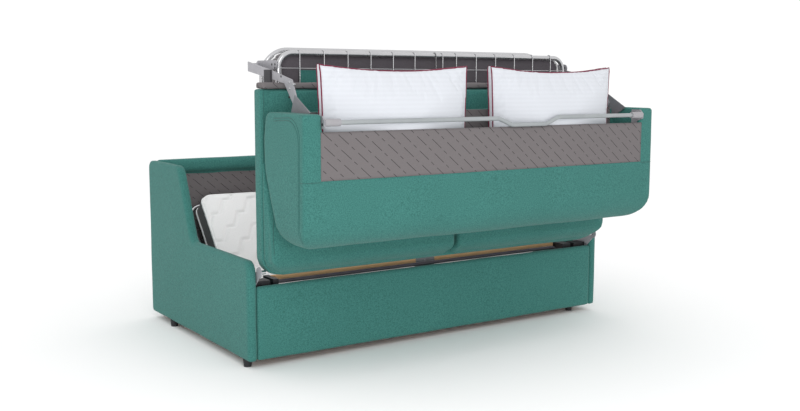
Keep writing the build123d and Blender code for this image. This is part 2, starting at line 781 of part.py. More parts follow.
# Pillows: full in the middle, thin along their edges, with sides that draw in between the corners
pillow_mid_y = pillow_front_y + pillow_depth / 2
pillow_top_z = pillow_bottom_z + pillow_height
pillow_mid_z = (pillow_bottom_z + pillow_top_z) / 2
for pillow_x, pillow_name in ((pillow_left_x, "left_pillow"), (pillow_right_x, "right_pillow")):
    low_x = pillow_x - pillow_width / 2
    high_x = pillow_x + pillow_width / 2
    edge_front = pillow_mid_y - pillow_edge_depth / 2
    edge_rear = pillow_mid_y + pillow_edge_depth / 2
    with BuildPart() as pillow:
        with BuildSketch(Plane.XZ.offset(-pillow_mid_y)):
            with BuildLine():
                ThreePointArc(
                    (low_x, pillow_top_z), (pillow_x, pillow_top_z - pillow_dip), (high_x, pillow_top_z)
                )
                ThreePointArc(
                    (high_x, pillow_top_z),
                    (high_x - pillow_dip / 2, pillow_mid_z),
                    (high_x, pillow_bottom_z),
                )
                Line((high_x, pillow_bottom_z), (low_x, pillow_bottom_z))
                ThreePointArc(
                    (low_x, pillow_bottom_z), (low_x + pillow_dip / 2, pillow_mid_z), (low_x, pillow_top_z)
                )
            make_face()
        extrude(amount=pillow_depth / 2, both=True)
        with BuildSketch(Plane.YZ.offset(low_x)):
            with BuildLine():
                Line((edge_rear, pillow_top_z), (edge_front, pillow_top_z))
                ThreePointArc(
                    (edge_front, pillow_top_z),
                    (pillow_front_y, pillow_mid_z),
                    (edge_front, pillow_bottom_z),
                )
                Line((edge_front, pillow_bottom_z), (edge_rear, pillow_bottom_z))
                ThreePointArc(
                    (edge_rear, pillow_bottom_z),
                    (pillow_front_y + pillow_depth, pillow_mid_z),
                    (edge_rear, pillow_top_z),
                )
            make_face()
        extrude(amount=pillow_width, mode=Mode.INTERSECT)
        with BuildSketch(Plane.XY.offset(pillow_bottom_z)):
            with BuildLine():
                Line((low_x, edge_rear), (low_x, edge_front))
                ThreePointArc((low_x, edge_front), (pillow_x, pillow_front_y), (high_x, edge_front))
                Line((high_x, edge_front), (high_x, edge_rear))
                ThreePointArc(
                    (high_x, edge_rear), (pillow_x, pillow_front_y + pillow_depth), (low_x, edge_rear)
                )
            make_face()
        extrude(amount=pillow_height, mode=Mode.INTERSECT)
    save(pillow.part, pillow_name)

# Head section: a loop of tube that leans back and hangs from pins near the rear wall
lean_sin = sin(radians(head_lean))
lean_cos = cos(radians(head_lean))
head_plane = Plane(
    origin=(0, head_pivot_y, head_pivot_z), x_dir=(1, 0, 0), z_dir=(0, -lean_cos, lean_sin)
)
knee_y = head_pivot_y - head_length * lean_sin
knee_z = head_pivot_z - head_length * lean_cos
middle_plane = Plane(origin=(0, knee_y, knee_z), x_dir=(1, 0, 0), z_dir=(0, 0, 1))
lug_x = bed_half_width + lug_thickness / 2
inner_lug_x = bed_half_width - 3 * lug_thickness / 2
lug_reach = bed_end_gap + bed_corner_radius
lug_pin_inner = inner_lug_x - fit_gap
lug_pin_length = 3 * lug_thickness + 2 * fit_gap

bed_frames = (
    ("head_frame", "head_net", head_plane, bed_end_gap - head_length, head_overhang),
    ("middle_frame", "middle_net", middle_plane, -middle_length, -bed_end_gap),
)
for frame_name, net_name, plane, low_end, high_end in bed_frames:
    middle_v = (low_end + high_end) / 2
    half_v = (high_end - low_end) / 2
    with BuildPart() as bed_frame:
        with BuildLine(plane) as bed_frame_line:
            FilletPolyline(
                (bed_half_width, high_end), (bed_half_width, low_end),
                (-bed_half_width, low_end), (-bed_half_width, high_end),
                radius=bed_corner_radius,
                close=True,
            )
        bed_frame_path = bed_frame_line.wires()[0]
        with BuildSketch(Plane(bed_frame_path @ 0, z_dir=bed_frame_path % 0)):
            Circle(bed_tube_radius)
        sweep(path=bed_frame_path)
        # Lugs for the pins between the two sections, and for the pins at the rear wall
        for side, side_name in sides:
            if plane is head_plane:
                with BuildSketch(Plane.YZ.offset(start_x(side, lug_x, lug_thickness))):
                    with Locations((knee_y, knee_z)):
                        Circle(lug_radius)
                    with BuildLine():
                        Polyline(
                            (knee_y + lug_radius * lean_cos, knee_z - lug_radius * lean_sin),
                            (knee_y - lug_radius * lean_cos, knee_z + lug_radius * lean_sin),
                            (
                                knee_y - lug_radius * lean_cos + lug_reach * lean_sin,
                                knee_z + lug_radius * lean_sin + lug_reach * lean_cos,
                            ),
                            (
                                knee_y + lug_radius * lean_cos + lug_reach * lean_sin,
                                knee_z - lug_radius * lean_sin + lug_reach * lean_cos,
                            ),
                            close=True,
                        )
                    make_face()
                    with Locations((knee_y, knee_z)):
                        Circle(bed_pin_radius + pin_gap, mode=Mode.SUBTRACT)
                extrude(amount=lug_thickness)
                with BuildSketch(Plane.YZ.offset(start_x(side, lug_x, 3 * lug_thickness / 2))):
                    with Locations((head_pivot_y, head_pivot_z)):
                        Circle(lug_radius)
                extrude(amount=3 * lug_thickness / 2)
                pin_hole = 3 * lug_thickness / 4
                with BuildSketch(Plane.YZ.offset(start_x(side, lug_x + pin_hole, pin_hole))):
                    with Locations((head_pivot_y, head_pivot_z)):
                        Circle(bed_pin_radius + pin_gap)
                extrude(amount=pin_hole, mode=Mode.SUBTRACT)
            else:
                with BuildSketch(Plane.YZ.offset(start_x(side, inner_lug_x, lug_thickness))):
                    with Locations((knee_y, knee_z)):
                        Circle(lug_radius)
                        Rectangle(2 * bed_end_gap, 2 * lug_radius, align=(Align.MAX, Align.CENTER))
                        Circle(bed_pin_radius + pin_gap, mode=Mode.SUBTRACT)
                extrude(amount=lug_thickness)
    save(bed_frame.part, frame_name)

    bed_net_inset = bed_tube_radius + fit_gap
    net_half_x = bed_half_width - bed_net_inset
    net_half_v = half_v - bed_net_inset
    bed_column = 2 * net_half_x / bed_net_columns
    bed_row = 2 * net_half_v / bed_net_rows
    with BuildPart() as bed_net:
        with BuildSketch(plane):
            with Locations((0, middle_v)):
                RectangleRounded(2 * net_half_x, 2 * net_half_v, bed_corner_radius - bed_net_inset)
                with GridLocations(bed_column, bed_row, bed_net_columns, bed_net_rows):
                    Rectangle(bed_column - net_wire, bed_row - net_wire, mode=Mode.SUBTRACT)
        extrude(amount=net_thickness / 2, both=True)
    save(bed_net.part, net_name)

with BuildPart() as middle_pins:
    for side, side_name in sides:
        with BuildSketch(Plane.YZ.offset(start_x(side, lug_pin_inner, lug_pin_length))):
            with Locations((knee_y, knee_z)):
                Circle(bed_pin_radius)
        extrude(amount=lug_pin_length)
save(middle_pins.part, "middle_pins")

# Brackets on the rear wall and their pins
head_bracket_x = lug_x + 3 * lug_thickness / 2 + fit_gap
for side, side_name in sides:
    with BuildPart() as head_bracket:
        with BuildSketch(Plane.YZ.offset(start_x(side, head_bracket_x, head_bracket_thickness))):
            with BuildLine():
                Polyline(
                    (head_pivot_y, head_pivot_z - head_bracket_nose),
                    (wall_y - lining_thickness, head_pivot_z - head_bracket_height / 2),
                    (wall_y - lining_thickness, head_pivot_z + head_bracket_height / 2),
                    (head_pivot_y, head_pivot_z + head_bracket_nose),
                    close=True,
                )
            make_face()
            with Locations((head_pivot_y, head_pivot_z)):
                Circle(head_bracket_nose)
                Circle(bed_pin_radius + pin_gap, mode=Mode.SUBTRACT)
        extrude(amount=head_bracket_thickness)
        with BuildSketch(Plane.YZ.offset(start_x(side, head_bracket_x, head_bracket_height))):
            with Locations((wall_y - lining_thickness, head_pivot_z)):
                Rectangle(head_bracket_thickness, head_bracket_height, align=(Align.MAX, Align.CENTER))
        extrude(amount=head_bracket_height)
    save(head_bracket.part, side_name + "_head_bracket")

# Pins of the base: two for the seat at the hinge plates, two for the head section at its brackets
head_pin_inner = lug_x + pin_hole + fit_gap
head_pin_length = head_bracket_x + head_bracket_thickness - head_pin_inner
seat_pin_length = plate_inner_x - seat_x + seat_pin_depth
seat_pin_inner = plate_inner_x - seat_pin_length
with BuildPart() as base_pins:
    for side, side_name in sides:
        with BuildSketch(Plane.YZ.offset(start_x(side, seat_pin_inner, seat_pin_length))):
            with Locations((seat_pivot_y, seat_pivot_z)):
                Circle(seat_pin_radius)
        extrude(amount=seat_pin_length)
        with BuildSketch(Plane.YZ.offset(start_x(side, head_pin_inner, head_pin_length))):
            with Locations((head_pivot_y, head_pivot_z)):
                Circle(bed_pin_radius)
        extrude(amount=head_pin_length)
save(base_pins.part, "base_pins")

# Head and middle sections of the mattress, which meet on the line that halves their angle
mattress_low = bed_tube_radius + fit_gap
mattress_high = mattress_low + mattress_thickness
half_fold_tan = tan(radians((90 - head_lean) / 2))
mattress_end = head_overhang + bed_end_gap
along_plane = Plane(
    origin=(-mattress_half_width, head_pivot_y, head_pivot_z),
    x_dir=(0, lean_sin, lean_cos),
    z_dir=(1, 0, 0),
)
with BuildPart() as head_mattress:
    with BuildSketch(along_plane):
        with BuildLine():
            Polyline(
                (mattress_low * half_fold_tan + mattress_gap - head_length, mattress_low),
                (mattress_high * half_fold_tan + mattress_gap - head_length, mattress_high),
                (mattress_end, mattress_high),
                (mattress_end, mattress_low),
                close=True,
            )
        make_face()
    extrude(amount=2 * mattress_half_width)
    fillet(head_mattress.faces().sort_by(Axis.Z)[-1].edges(), radius=mattress_edge_radius)
save(head_mattress.part, "head_mattress")

middle_end_y = knee_y - middle_length - middle_mattress_overhang
with BuildPart() as middle_mattress:
    with BuildSketch(Plane.YZ.offset(-mattress_half_width)):
        with BuildLine():
            Polyline(
                (knee_y - mattress_low * half_fold_tan - mattress_gap, knee_z + mattress_low),
                (knee_y - mattress_high * half_fold_tan - mattress_gap, knee_z + mattress_high),
                (middle_end_y, knee_z + mattress_high),
                (middle_end_y, knee_z + mattress_low),
                close=True,
            )
        make_face()
    extrude(amount=2 * mattress_half_width)
    fillet(middle_mattress.faces().sort_by(Axis.Y)[0].edges(), radius=mattress_edge_radius)
save(middle_mattress.part, "middle_mattress")
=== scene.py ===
"""Dresses a folding sofa bed: upholstery, linings, mattress, pillows, wire nets and fittings."""

import json
import math

import bmesh
import bpy
import numpy as np
from bpy.props import FloatProperty, FloatVectorProperty, IntProperty, PointerProperty
from mathutils import Matrix, Vector, noise
from mathutils.bvhtree import BVHTree


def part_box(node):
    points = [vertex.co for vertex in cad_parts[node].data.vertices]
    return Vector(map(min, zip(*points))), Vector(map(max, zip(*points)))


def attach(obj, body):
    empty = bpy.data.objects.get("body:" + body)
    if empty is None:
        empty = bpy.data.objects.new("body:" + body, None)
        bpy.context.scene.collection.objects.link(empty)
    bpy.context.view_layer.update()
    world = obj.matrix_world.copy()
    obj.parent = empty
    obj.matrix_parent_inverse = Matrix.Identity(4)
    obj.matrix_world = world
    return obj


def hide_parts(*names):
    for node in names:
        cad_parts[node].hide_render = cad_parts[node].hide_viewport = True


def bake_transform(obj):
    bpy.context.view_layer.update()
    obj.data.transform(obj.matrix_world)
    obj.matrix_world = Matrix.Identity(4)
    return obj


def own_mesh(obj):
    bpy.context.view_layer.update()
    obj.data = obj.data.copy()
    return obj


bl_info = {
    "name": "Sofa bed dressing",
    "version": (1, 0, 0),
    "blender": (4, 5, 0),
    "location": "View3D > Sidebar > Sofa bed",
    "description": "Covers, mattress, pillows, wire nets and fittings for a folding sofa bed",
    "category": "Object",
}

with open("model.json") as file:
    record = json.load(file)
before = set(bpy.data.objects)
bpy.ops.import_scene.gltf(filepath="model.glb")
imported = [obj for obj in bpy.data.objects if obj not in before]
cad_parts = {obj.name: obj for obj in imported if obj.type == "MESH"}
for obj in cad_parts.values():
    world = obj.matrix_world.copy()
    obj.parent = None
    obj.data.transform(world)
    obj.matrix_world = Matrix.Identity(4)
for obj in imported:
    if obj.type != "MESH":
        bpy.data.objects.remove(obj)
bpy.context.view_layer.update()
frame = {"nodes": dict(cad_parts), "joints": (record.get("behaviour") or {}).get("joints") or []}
nodes = frame["nodes"]
pivots = {joint["name"]: Vector(joint["pos_m"]) for joint in frame["joints"]}

SIDES = (("left", -1), ("right", 1))
MERGE_GAP = 0.00002
SMOOTH_SHARE = 0.5
NOISE_SHIFT = (3.7, 1.3, 2.1)
TINY = 1e-9
ARC_STEPS = 10
PATH_STEP = 0.02
ROD_SIDES = 8


def colour(red, green, blue):
    """A scene colour from a screen colour of 0 to 255."""
    def linear(value):
        share = value / 255
        return share / 12.92 if share <= 0.04045 else ((share + 0.055) / 1.055) ** 2.4
    return (linear(red), linear(green), linear(blue), 1.0)


def tint(name, description, default):
    """A colour that a user can set."""
    return FloatVectorProperty(
        name=name, description=description, subtype="COLOR", size=4, min=0.0, max=1.0, default=default
    )


def length(name, description, default):
    """A length in metres that a user can set."""
    return FloatProperty(name=name, description=description, default=default, min=0.0, unit="LENGTH")


def round_count(name, description, default):
    """A number of smoothing rounds that a user can set."""
    return IntProperty(name=name, description=description, default=default, min=0)


class SofaColours(bpy.types.PropertyGroup):
    """Colours of the sofa bed's cloths, paints and woods."""

    cover: tint("Cover", "Upholstery cloth", colour(68, 127, 120))
    cover_shade: tint("Cover, dark threads", "Darker threads of the upholstery", colour(44, 95, 89))
    lining: tint("Lining", "Lining cloth", colour(115, 110, 111))
    lining_line: tint("Lining lines", "Broken lines printed on the lining", colour(46, 42, 44))
    ticking: tint("Ticking", "Quilted mattress cloth", colour(243, 243, 243))
    border: tint("Mattress border", "Grey cloth on the mattress's sides", colour(112, 108, 110))
    underside: tint("Mattress underside", "Dark felt under the mattress", colour(92, 87, 92))
    cotton: tint("Pillow cotton", "Pillow cloth", colour(209, 212, 218))
    piping: tint("Pillow piping", "Cord along the pillows' edges", colour(122, 22, 58))
    tube: tint("Bright tube", "Plated tubes and wires", colour(205, 205, 207))
    plate: tint("Grey plate", "Painted link plates", colour(168, 167, 172))
    dark_steel: tint("Dark steel", "Rails and side arms", colour(46, 44, 50))
    # The gussets have the link plates' finish; this darker grey is painted shade.
    gusset: tint("Gussets", "Painted gusset plates", colour(132, 131, 136))
    front_tube: tint("Front tube", "Tube behind the front panel", colour(84, 81, 88))
    bar: tint("Bar", "Bar across the back", colour(165, 170, 172))
    sleeve: tint("Sleeves", "Plastic sleeves of the bar", colour(160, 158, 162))
    black: tint("Black fittings", "Moulded black fittings and feet", colour(26, 25, 30))
    wood: tint("Slat wood", "Pale bare wood", colour(255, 206, 151))
    hardboard: tint("Hardboard", "Brown board under the box", colour(134, 98, 66))


class SofaSizes(bpy.types.PropertyGroup):
    """Sizes of the soft pieces, wires and stitches."""

    cover_mesh: length("Cover mesh", "Mesh size of the covers", 0.009)
    mattress_mesh: length("Mattress mesh", "Mesh size of the mattress", 0.0071)
    cover_rounds: round_count("Cover rounding", "Rounding of the covers' edges", 5)
    cushion_rounds: round_count("Cushion rounding", "Rounding of the seat cushions", 9)
    panel_pad: length("Panel pad", "Padding on the front panel's upper edge", 0.009)
    lip_lift: length("Lip lift", "How far the cushions' front lip is drawn up", 0.026)
    board_lift: length("Board lift", "How far the seat board's lower edge is drawn up", 0.004)
    lining_thickness: length("Lining thickness", "Thickness of the box's lining cloth", 0.0012)
    lining_ripple: length("Lining ripple", "Depth of the unevenness of the box's lining", 0.0016)
    panel_thickness: length("Back lining thickness", "Thickness of the back's lining", 0.0015)
    panel_ripple: length("Back lining ripple", "Depth of the unevenness of the back's lining", 0.0014)
    end_lining_mesh: length("End lining mesh", "Mesh size of the lining over the seat's end", 0.006)
    end_lining_ripple: length("End lining ripple", "Depth of the unevenness of that lining", 0.002)
    back_mesh: length("Back mesh", "Mesh size of the back's cover", 0.008)
    back_rounds: round_count("Back rounding", "Rounding of the back's edges", 6)
    back_sag: length("Back sag", "How far the back's padding hangs lower", 0.010)
    cushion_swell: length("Cushion swell", "How far the filling may push a seat cushion's cloth", 0.006)
    cover_ripple: length("Cover ripple", "Depth of the soft unevenness of covers", 0.0016)
    cushion_ripple: length("Cushion ripple", "Depth of the soft unevenness of cushions", 0.003)
    seam_radius: length("Seam", "Half the width of a sewn seam", 0.0014)
    stitch_pitch: length("Stitch pitch", "Distance from stitch to stitch", 0.006)
    stitch_length: length("Stitch length", "Length of one stitch", 0.0042)
    twin_seam: length("Twin seam", "Distance between the two seams on a cheek", 0.010)
    pillow_mesh: length("Pillow mesh", "Mesh size of the pillows", 0.008)
    pillow_band: length("Pillow band", "Width of the band between a pillow's two pipings", 0.026)
    pillow_dip: length("Pillow dip", "How far a pillow's top edge dips", 0.026)
    pillow_swell: length("Pillow swell", "How far the filling may push the cloth", 0.014)
    pillow_ripple: length("Pillow ripple", "Depth of the soft unevenness of pillows", 0.0022)
    piping_radius: length("Pillow piping", "Half the thickness of the pillow piping", 0.0026)
    mattress_rounds: round_count("Mattress rounding", "Rounding of the mattress's edges", 3)
    mattress_ripple: length("Mattress ripple", "Depth of the unevenness of the bed mattress", 0.002)
    foot_ripple: length("Foot ripple", "Depth of the unevenness of the foot mattress", 0.0018)
    mattress_piping: length("Mattress piping", "Half the thickness of the mattress piping", 0.0055)
    border_edge: length("Border edge", "How far the border stays from the mattress's faces", 0.014)
    head_reach: length("Head reach", "Length of the mattress's head section from the knee", 0.474)
    mattress_corner: length("Mattress corner", "Rounding of the mattress's outer corners", 0.055)
    quilt_depth: length("Quilting depth", "Depth of the quilted lines", 0.009)
    quilt_width: length("Quilting width", "Half the width of a quilted groove", 0.0065)
    quilt_spacing: length("Quilting spacing", "Distance between the quilted lines", 0.135)
    quilt_rise: length("Quilting rise", "Height of one step of a quilted line", 0.078)
    quilt_slant: length("Quilting slant", "Side run of a line's slanting part", 0.041)
    quilt_flat: length("Quilting flat", "Side run of a line's level part", 0.038)
    wire_radius: length("Net wire", "Half the thickness of the net's wires", 0.0022)
    wire_pitch: length("Wire pitch", "Distance between the net's upright wires", 0.115)
    row_pitch: length("Row pitch", "Distance between the net's level wires", 0.061)
    rivet_radius: length("Rivet", "Radius of the plates' rivets", 0.0045)
    rivet_height: length("Rivet height", "Height of a rivet's head", 0.0028)


# Meshes and objects

def link(piece):
    """Put an object in the scene."""
    bpy.context.scene.collection.objects.link(piece)
    return piece


def new_piece(name, points, edges=(), faces=()):
    """An object made from points, edges and faces."""
    mesh = bpy.data.meshes.new(name)
    mesh.from_pydata([tuple(point) for point in points], list(edges), list(faces))
    mesh.update()
    return link(bpy.data.objects.new(name, mesh))


def settled(piece):
    """The piece with its modifiers applied, as a plain mesh under the same name."""
    bpy.context.view_layer.update()
    graph = bpy.context.evaluated_depsgraph_get()
    mesh = bpy.data.meshes.new_from_object(piece.evaluated_get(graph))
    old = piece.data
    piece.modifiers.clear()
    piece.data = mesh
    bpy.data.meshes.remove(old)
    mesh.name = piece.name
    return piece


def shade_smooth(piece):
    """Smooth shading on every face."""
    piece.data.polygons.foreach_set("use_smooth", [True] * len(piece.data.polygons))
    return piece


def coordinates(piece):
    """The mesh's points as an array."""
    points = np.zeros(len(piece.data.vertices) * 3)
    piece.data.vertices.foreach_get("co", points)
    return points.reshape(-1, 3)


def directions(piece):
    """The mesh's point normals as an array."""
    normals = np.zeros(len(piece.data.vertices) * 3)
    piece.data.vertices.foreach_get("normal", normals)
    return normals.reshape(-1, 3)


def move_to(piece, points):
    """Give the mesh new point places."""
    piece.data.vertices.foreach_set("co", np.ascontiguousarray(points).ravel())
    piece.data.update()


def copy_of(node_names, name):
    """A closed mesh joined from the named solids."""
    mesh = bpy.data.meshes.new(name)
    joined = bmesh.new()
    for node_name in node_names:
        joined.from_mesh(nodes[node_name].data)
    bmesh.ops.remove_doubles(joined, verts=joined.verts, dist=MERGE_GAP)
    joined.to_mesh(mesh)
    joined.free()
    mesh.materials.clear()
    return link(bpy.data.objects.new(name, mesh))


def skin_over(node_names, name, mesh_size, rounds):
    """One even skin over solids, with its edges rounded as padding rounds them."""
    piece = copy_of(node_names, name)
    remesh = piece.modifiers.new("skin", "REMESH")
    remesh.mode = "VOXEL"
    remesh.voxel_size = mesh_size
    smooth = piece.modifiers.new("round", "SMOOTH")
    smooth.factor = SMOOTH_SHARE
    smooth.iterations = rounds
    return shade_smooth(settled(piece))


def portion(distance, run):
    """How much of a run a distance covers, from 0 to 1."""
    return np.clip(distance / run, 0, 1)


# Scale and seed of the unevenness of each piece
RIPPLES = {
    "left_arm_cover": (5.0, 1), "right_arm_cover": (5.0, 2), "front_panel_cover": (5.0, 3),
    "rear_cover": (5.0, 4), "rear_lining_cloth": (9.0, 5.0), "back_lining_cloth": (11.0, 6.0),
    "seat_board_cover": (6.0, 11), "left_seat_cushion_cover": (4.0, 12),
    "right_seat_cushion_cover": (4.0, 13), "seat_end_cloth": (14.0, 21), "back_cover": (4.5, 31),
    "left_pillow_case": (7.0, 41), "right_pillow_case": (7.0, 42), "bed_mattress": (5.0, 51),
    "foot_mattress_cover": (5.0, 61), "holding_flap": (20.0, 71),
}


def unevenness(points, scale, seed):
    """Smooth values between about -1 and 1 at each point."""
    shift = Vector([seed * step for step in NOISE_SHIFT])
    return np.array([noise.noise(Vector(point) * scale + shift) for point in points])


def thickened(piece, thickness, offset):
    """Give a sheet its thickness, to one side of it."""
    wall = piece.modifiers.new("thickness", "SOLIDIFY")
    wall.thickness = thickness
    wall.offset = offset
    return settled(piece)


def ripple(piece, depth):
    """Push the surface in and out a little, as filled cloth lies."""
    points = coordinates(piece)
    scale, seed = RIPPLES[piece.name.split(".")[0]]
    amount = depth * unevenness(points, scale, seed)
    move_to(piece, points + directions(piece) * amount[:, None])


def paint(piece, *materials):
    """Give a new piece its materials."""
    piece.data.materials.clear()
    for material in materials:
        piece.data.materials.append(material)
    return piece


def paint_faces(piece, index, chosen):
    """Give the chosen faces another of the piece's materials."""
    slots = np.zeros(len(piece.data.polygons), np.int32)
    piece.data.polygons.foreach_get("material_index", slots)
    slots[chosen] = index
    piece.data.polygons.foreach_set("material_index", slots)


def face_arrays(piece):
    """Centres and normals of the faces."""
    centres = np.zeros(len(piece.data.polygons) * 3)
    normals = np.zeros(len(piece.data.polygons) * 3)
    piece.data.polygons.foreach_get("center", centres)
    piece.data.polygons.foreach_get("normal", normals)
    return centres.reshape(-1, 3), normals.reshape(-1, 3)


def surface_of(piece):
    """A search tree over the piece's surface."""
    shape = bmesh.new()
    shape.from_mesh(piece.data)
    tree = BVHTree.FromBMesh(shape)
    shape.free()
    return tree


def laid_on(tree, points, lift=0.0):
    """The nearest places on a surface, lifted off it."""
    laid = []
    for point in points:
        place, normal, _, _ = tree.find_nearest(Vector(point))
        laid.append(place + normal * lift)
    return laid


def arc(centre, radius, start, end, steps):
    """Points on an arc in the plane of Y and Z, as (y, z), with angles in degrees."""
    angles = [math.radians(start + (end - start) * step / steps) for step in range(steps + 1)]
    return [(centre[0] + radius * math.cos(a), centre[1] + radius * math.sin(a)) for a in angles]


def spaced(points, step):
    """The path through points, with more points so that none is further apart than step."""
    path = []
    for first, last in zip(points, points[1:]):
        first, last = Vector(first), Vector(last)
        count = max(1, math.ceil((last - first).length / step))
        path += [first.lerp(last, index / count) for index in range(count)]
    return path + [Vector(points[-1])]


# Geometry node trees

class Tree:
    """Adds nodes to a tree and links them."""

    def __init__(self, tree):
        self.tree = tree

    def add(self, kind, inputs=None, **settings):
        """A node with its settings, and values or links for its inputs."""
        node = self.tree.nodes.new(kind)
        for key, value in settings.items():
            setattr(node, key, value)
        for key, value in (inputs or {}).items():
            if isinstance(value, bpy.types.NodeSocket):
                self.tree.links.new(value, node.inputs[key])
            else:
                node.inputs[key].default_value = value
        return node

    def feed(self, node, **sockets):
        """Link outputs to a node's inputs, with low lines for the spaces in their names."""
        for name, output in sockets.items():
            self.tree.links.new(output, node.inputs[name.replace("_", " ")])

    def math(self, operation, first, second=0.0):
        """The result of a sum on two numbers or sockets."""
        node = self.add("ShaderNodeMath", {0: first, 1: second}, operation=operation)
        return node.outputs[0]

    def mix(self, amount, first, second):
        """A colour between two colours."""
        node = self.add("ShaderNodeMix", {"Factor": amount, 6: first, 7: second}, data_type="RGBA")
        return node.outputs[2]

    def ranged(self, value, low=0.0, high=1.0, start=0.0, end=1.0):
        """A value moved from the range of low and high to that of start and end, and kept in it."""
        node = self.add("ShaderNodeMapRange", {
            "Value": value, "From Min": low, "From Max": high, "To Min": start, "To Max": end,
        })
        return node.outputs["Result"]

    def noise(self, place, scale, detail):
        """Cloudy values over the surface."""
        node = self.add("ShaderNodeTexNoise", {"Vector": place, "Scale": scale, "Detail": detail})
        return node.outputs["Fac"]

    def place(self):
        """The places of a piece's surface."""
        return self.add("ShaderNodeTexCoord").outputs["Object"]

    def axes(self, place):
        """A place's three parts."""
        return self.add("ShaderNodeSeparateXYZ", {"Vector": place}).outputs


def node_group(name, kind, inputs, outputs):
    """An empty group with named inputs and outputs, and its two end nodes."""
    group = bpy.data.node_groups.new(name, kind)
    for socket_name, socket_type, default in inputs:
        socket = group.interface.new_socket(socket_name, in_out="INPUT", socket_type=socket_type)
        if default is not None:
            socket.default_value = default
    for socket_name, socket_type in outputs:
        group.interface.new_socket(socket_name, in_out="OUTPUT", socket_type=socket_type)
    start = group.nodes.new("NodeGroupInput")
    end = group.nodes.new("NodeGroupOutput")
    return group, start, end


def geometry_group(name, inputs):
    """A geometry tree whose first input is the geometry and whose last is the material."""
    sockets = (("Geometry", "NodeSocketGeometry", None),) + inputs
    sockets += (("Material", "NodeSocketMaterial", None),)
    outputs = (("Geometry", "NodeSocketGeometry"),)
    group, start, end = node_group(name, "GeometryNodeTree", sockets, outputs)
    return Tree(group), start.outputs, end


def put_out(tree, geometry, values, end):
    """Make the geometry real, smooth and painted, and put it out of the tree."""
    real = tree.add("GeometryNodeRealizeInstances", {"Geometry": geometry})
    smooth = tree.add("GeometryNodeSetShadeSmooth", {"Geometry": real.outputs["Geometry"]})
    finish = tree.add("GeometryNodeSetMaterial", {
        "Geometry": smooth.outputs["Geometry"], "Material": values["Material"],
    })
    tree.feed(end, Geometry=finish.outputs["Geometry"])
    return tree.tree


def set_on_points(tree, points, shape, facing, axis, size):
    """A shape of a given size on every point, with one of its axes turned to the facing."""
    turned = tree.add("FunctionNodeAlignRotationToVector", {"Vector": facing}, axis=axis)
    scale = tree.add("ShaderNodeCombineXYZ", dict(zip("XYZ", size)))
    row = tree.add("GeometryNodeInstanceOnPoints", {
        "Points": points, "Instance": shape.outputs["Mesh"],
        "Rotation": turned.outputs["Rotation"], "Scale": scale.outputs["Vector"],
    })
    return row.outputs["Instances"]


def rod_tree():
    """Round rods along every edge of a mesh."""
    tree, values, end = geometry_group(
        "Rods along paths",
        (("Radius", "NodeSocketFloat", 0.002), ("Sides", "NodeSocketInt", ROD_SIDES)),
    )
    path = tree.add("GeometryNodeMeshToCurve", {"Mesh": values["Geometry"]})
    profile = tree.add("GeometryNodeCurvePrimitiveCircle", {
        "Resolution": values["Sides"], "Radius": values["Radius"],
    })
    rod = tree.add("GeometryNodeCurveToMesh", {
        "Curve": path.outputs["Curve"], "Profile Curve": profile.outputs["Curve"], "Fill Caps": True,
    })
    return put_out(tree, rod.outputs["Mesh"], values, end)


def stitch_tree():
    """Short stitches one after another along every edge path."""
    tree, values, end = geometry_group("Stitches along paths", (
        ("Pitch", "NodeSocketFloat", 0.006), ("Length", "NodeSocketFloat", 0.004),
        ("Radius", "NodeSocketFloat", 0.0006),
    ))
    path = tree.add("GeometryNodeMeshToCurve", {"Mesh": values["Geometry"]})
    places = tree.add(
        "GeometryNodeCurveToPoints",
        {"Curve": path.outputs["Curve"], "Length": values["Pitch"]}, mode="LENGTH",
    )
    stitch = tree.add("GeometryNodeMeshUVSphere", {"Segments": 6, "Rings": 4, "Radius": 1.0})
    size = (tree.math("MULTIPLY", values["Length"], 0.5), values["Radius"], values["Radius"])
    row = set_on_points(
        tree, places.outputs["Points"], stitch, places.outputs["Tangent"], "X", size
    )
    return put_out(tree, row, values, end)


def rivet_tree():
    """A domed rivet head on every point, facing along the point's facing attribute."""
    tree, values, end = geometry_group("Rivets on points", (
        ("Radius", "NodeSocketFloat", 0.004), ("Height", "NodeSocketFloat", 0.003),
    ))
    places = tree.add("GeometryNodeMeshToPoints", {"Mesh": values["Geometry"]})
    facing = tree.add(
        "GeometryNodeInputNamedAttribute", {"Name": "facing"}, data_type="FLOAT_VECTOR"
    )
    head = tree.add("GeometryNodeMeshUVSphere", {"Segments": 16, "Rings": 8, "Radius": 1.0})
    size = (values["Radius"], values["Radius"], values["Height"])
    row = set_on_points(
        tree, places.outputs["Points"], head, facing.outputs["Attribute"], "Z", size
    )
    return put_out(tree, row, values, end)


def grown(piece, tree, values):
    """Run a geometry tree on a piece and keep the result as a plain mesh."""
    modifier = piece.modifiers.new("made", "NODES")
    modifier.node_group = tree
    for item in tree.interface.items_tree:
        if item.item_type == "SOCKET" and item.in_out == "INPUT" and item.name in values:
            modifier[item.identifier] = values[item.name]
    return settled(piece)


def kept_tree(name, maker):
    """The named tree, made once."""
    return bpy.data.node_groups.get(name) or maker()


def path_piece(name, paths):
    """An object with an edge path for each of the point paths. A path is (points, closed)."""
    points, edges = [], []
    for path, closed in paths:
        first = len(points)
        points += [tuple(point) for point in path]
        edges += [(first + index, first + index + 1) for index in range(len(path) - 1)]
        if closed:
            edges.append((first + len(path) - 1, first))
    return new_piece(name, points, edges)


def rods(name, paths, radius, material):
    """Rods along point paths."""
    values = {"Radius": radius, "Sides": ROD_SIDES, "Material": material}
    return grown(path_piece(name, paths), kept_tree("Rods along paths", rod_tree), values)


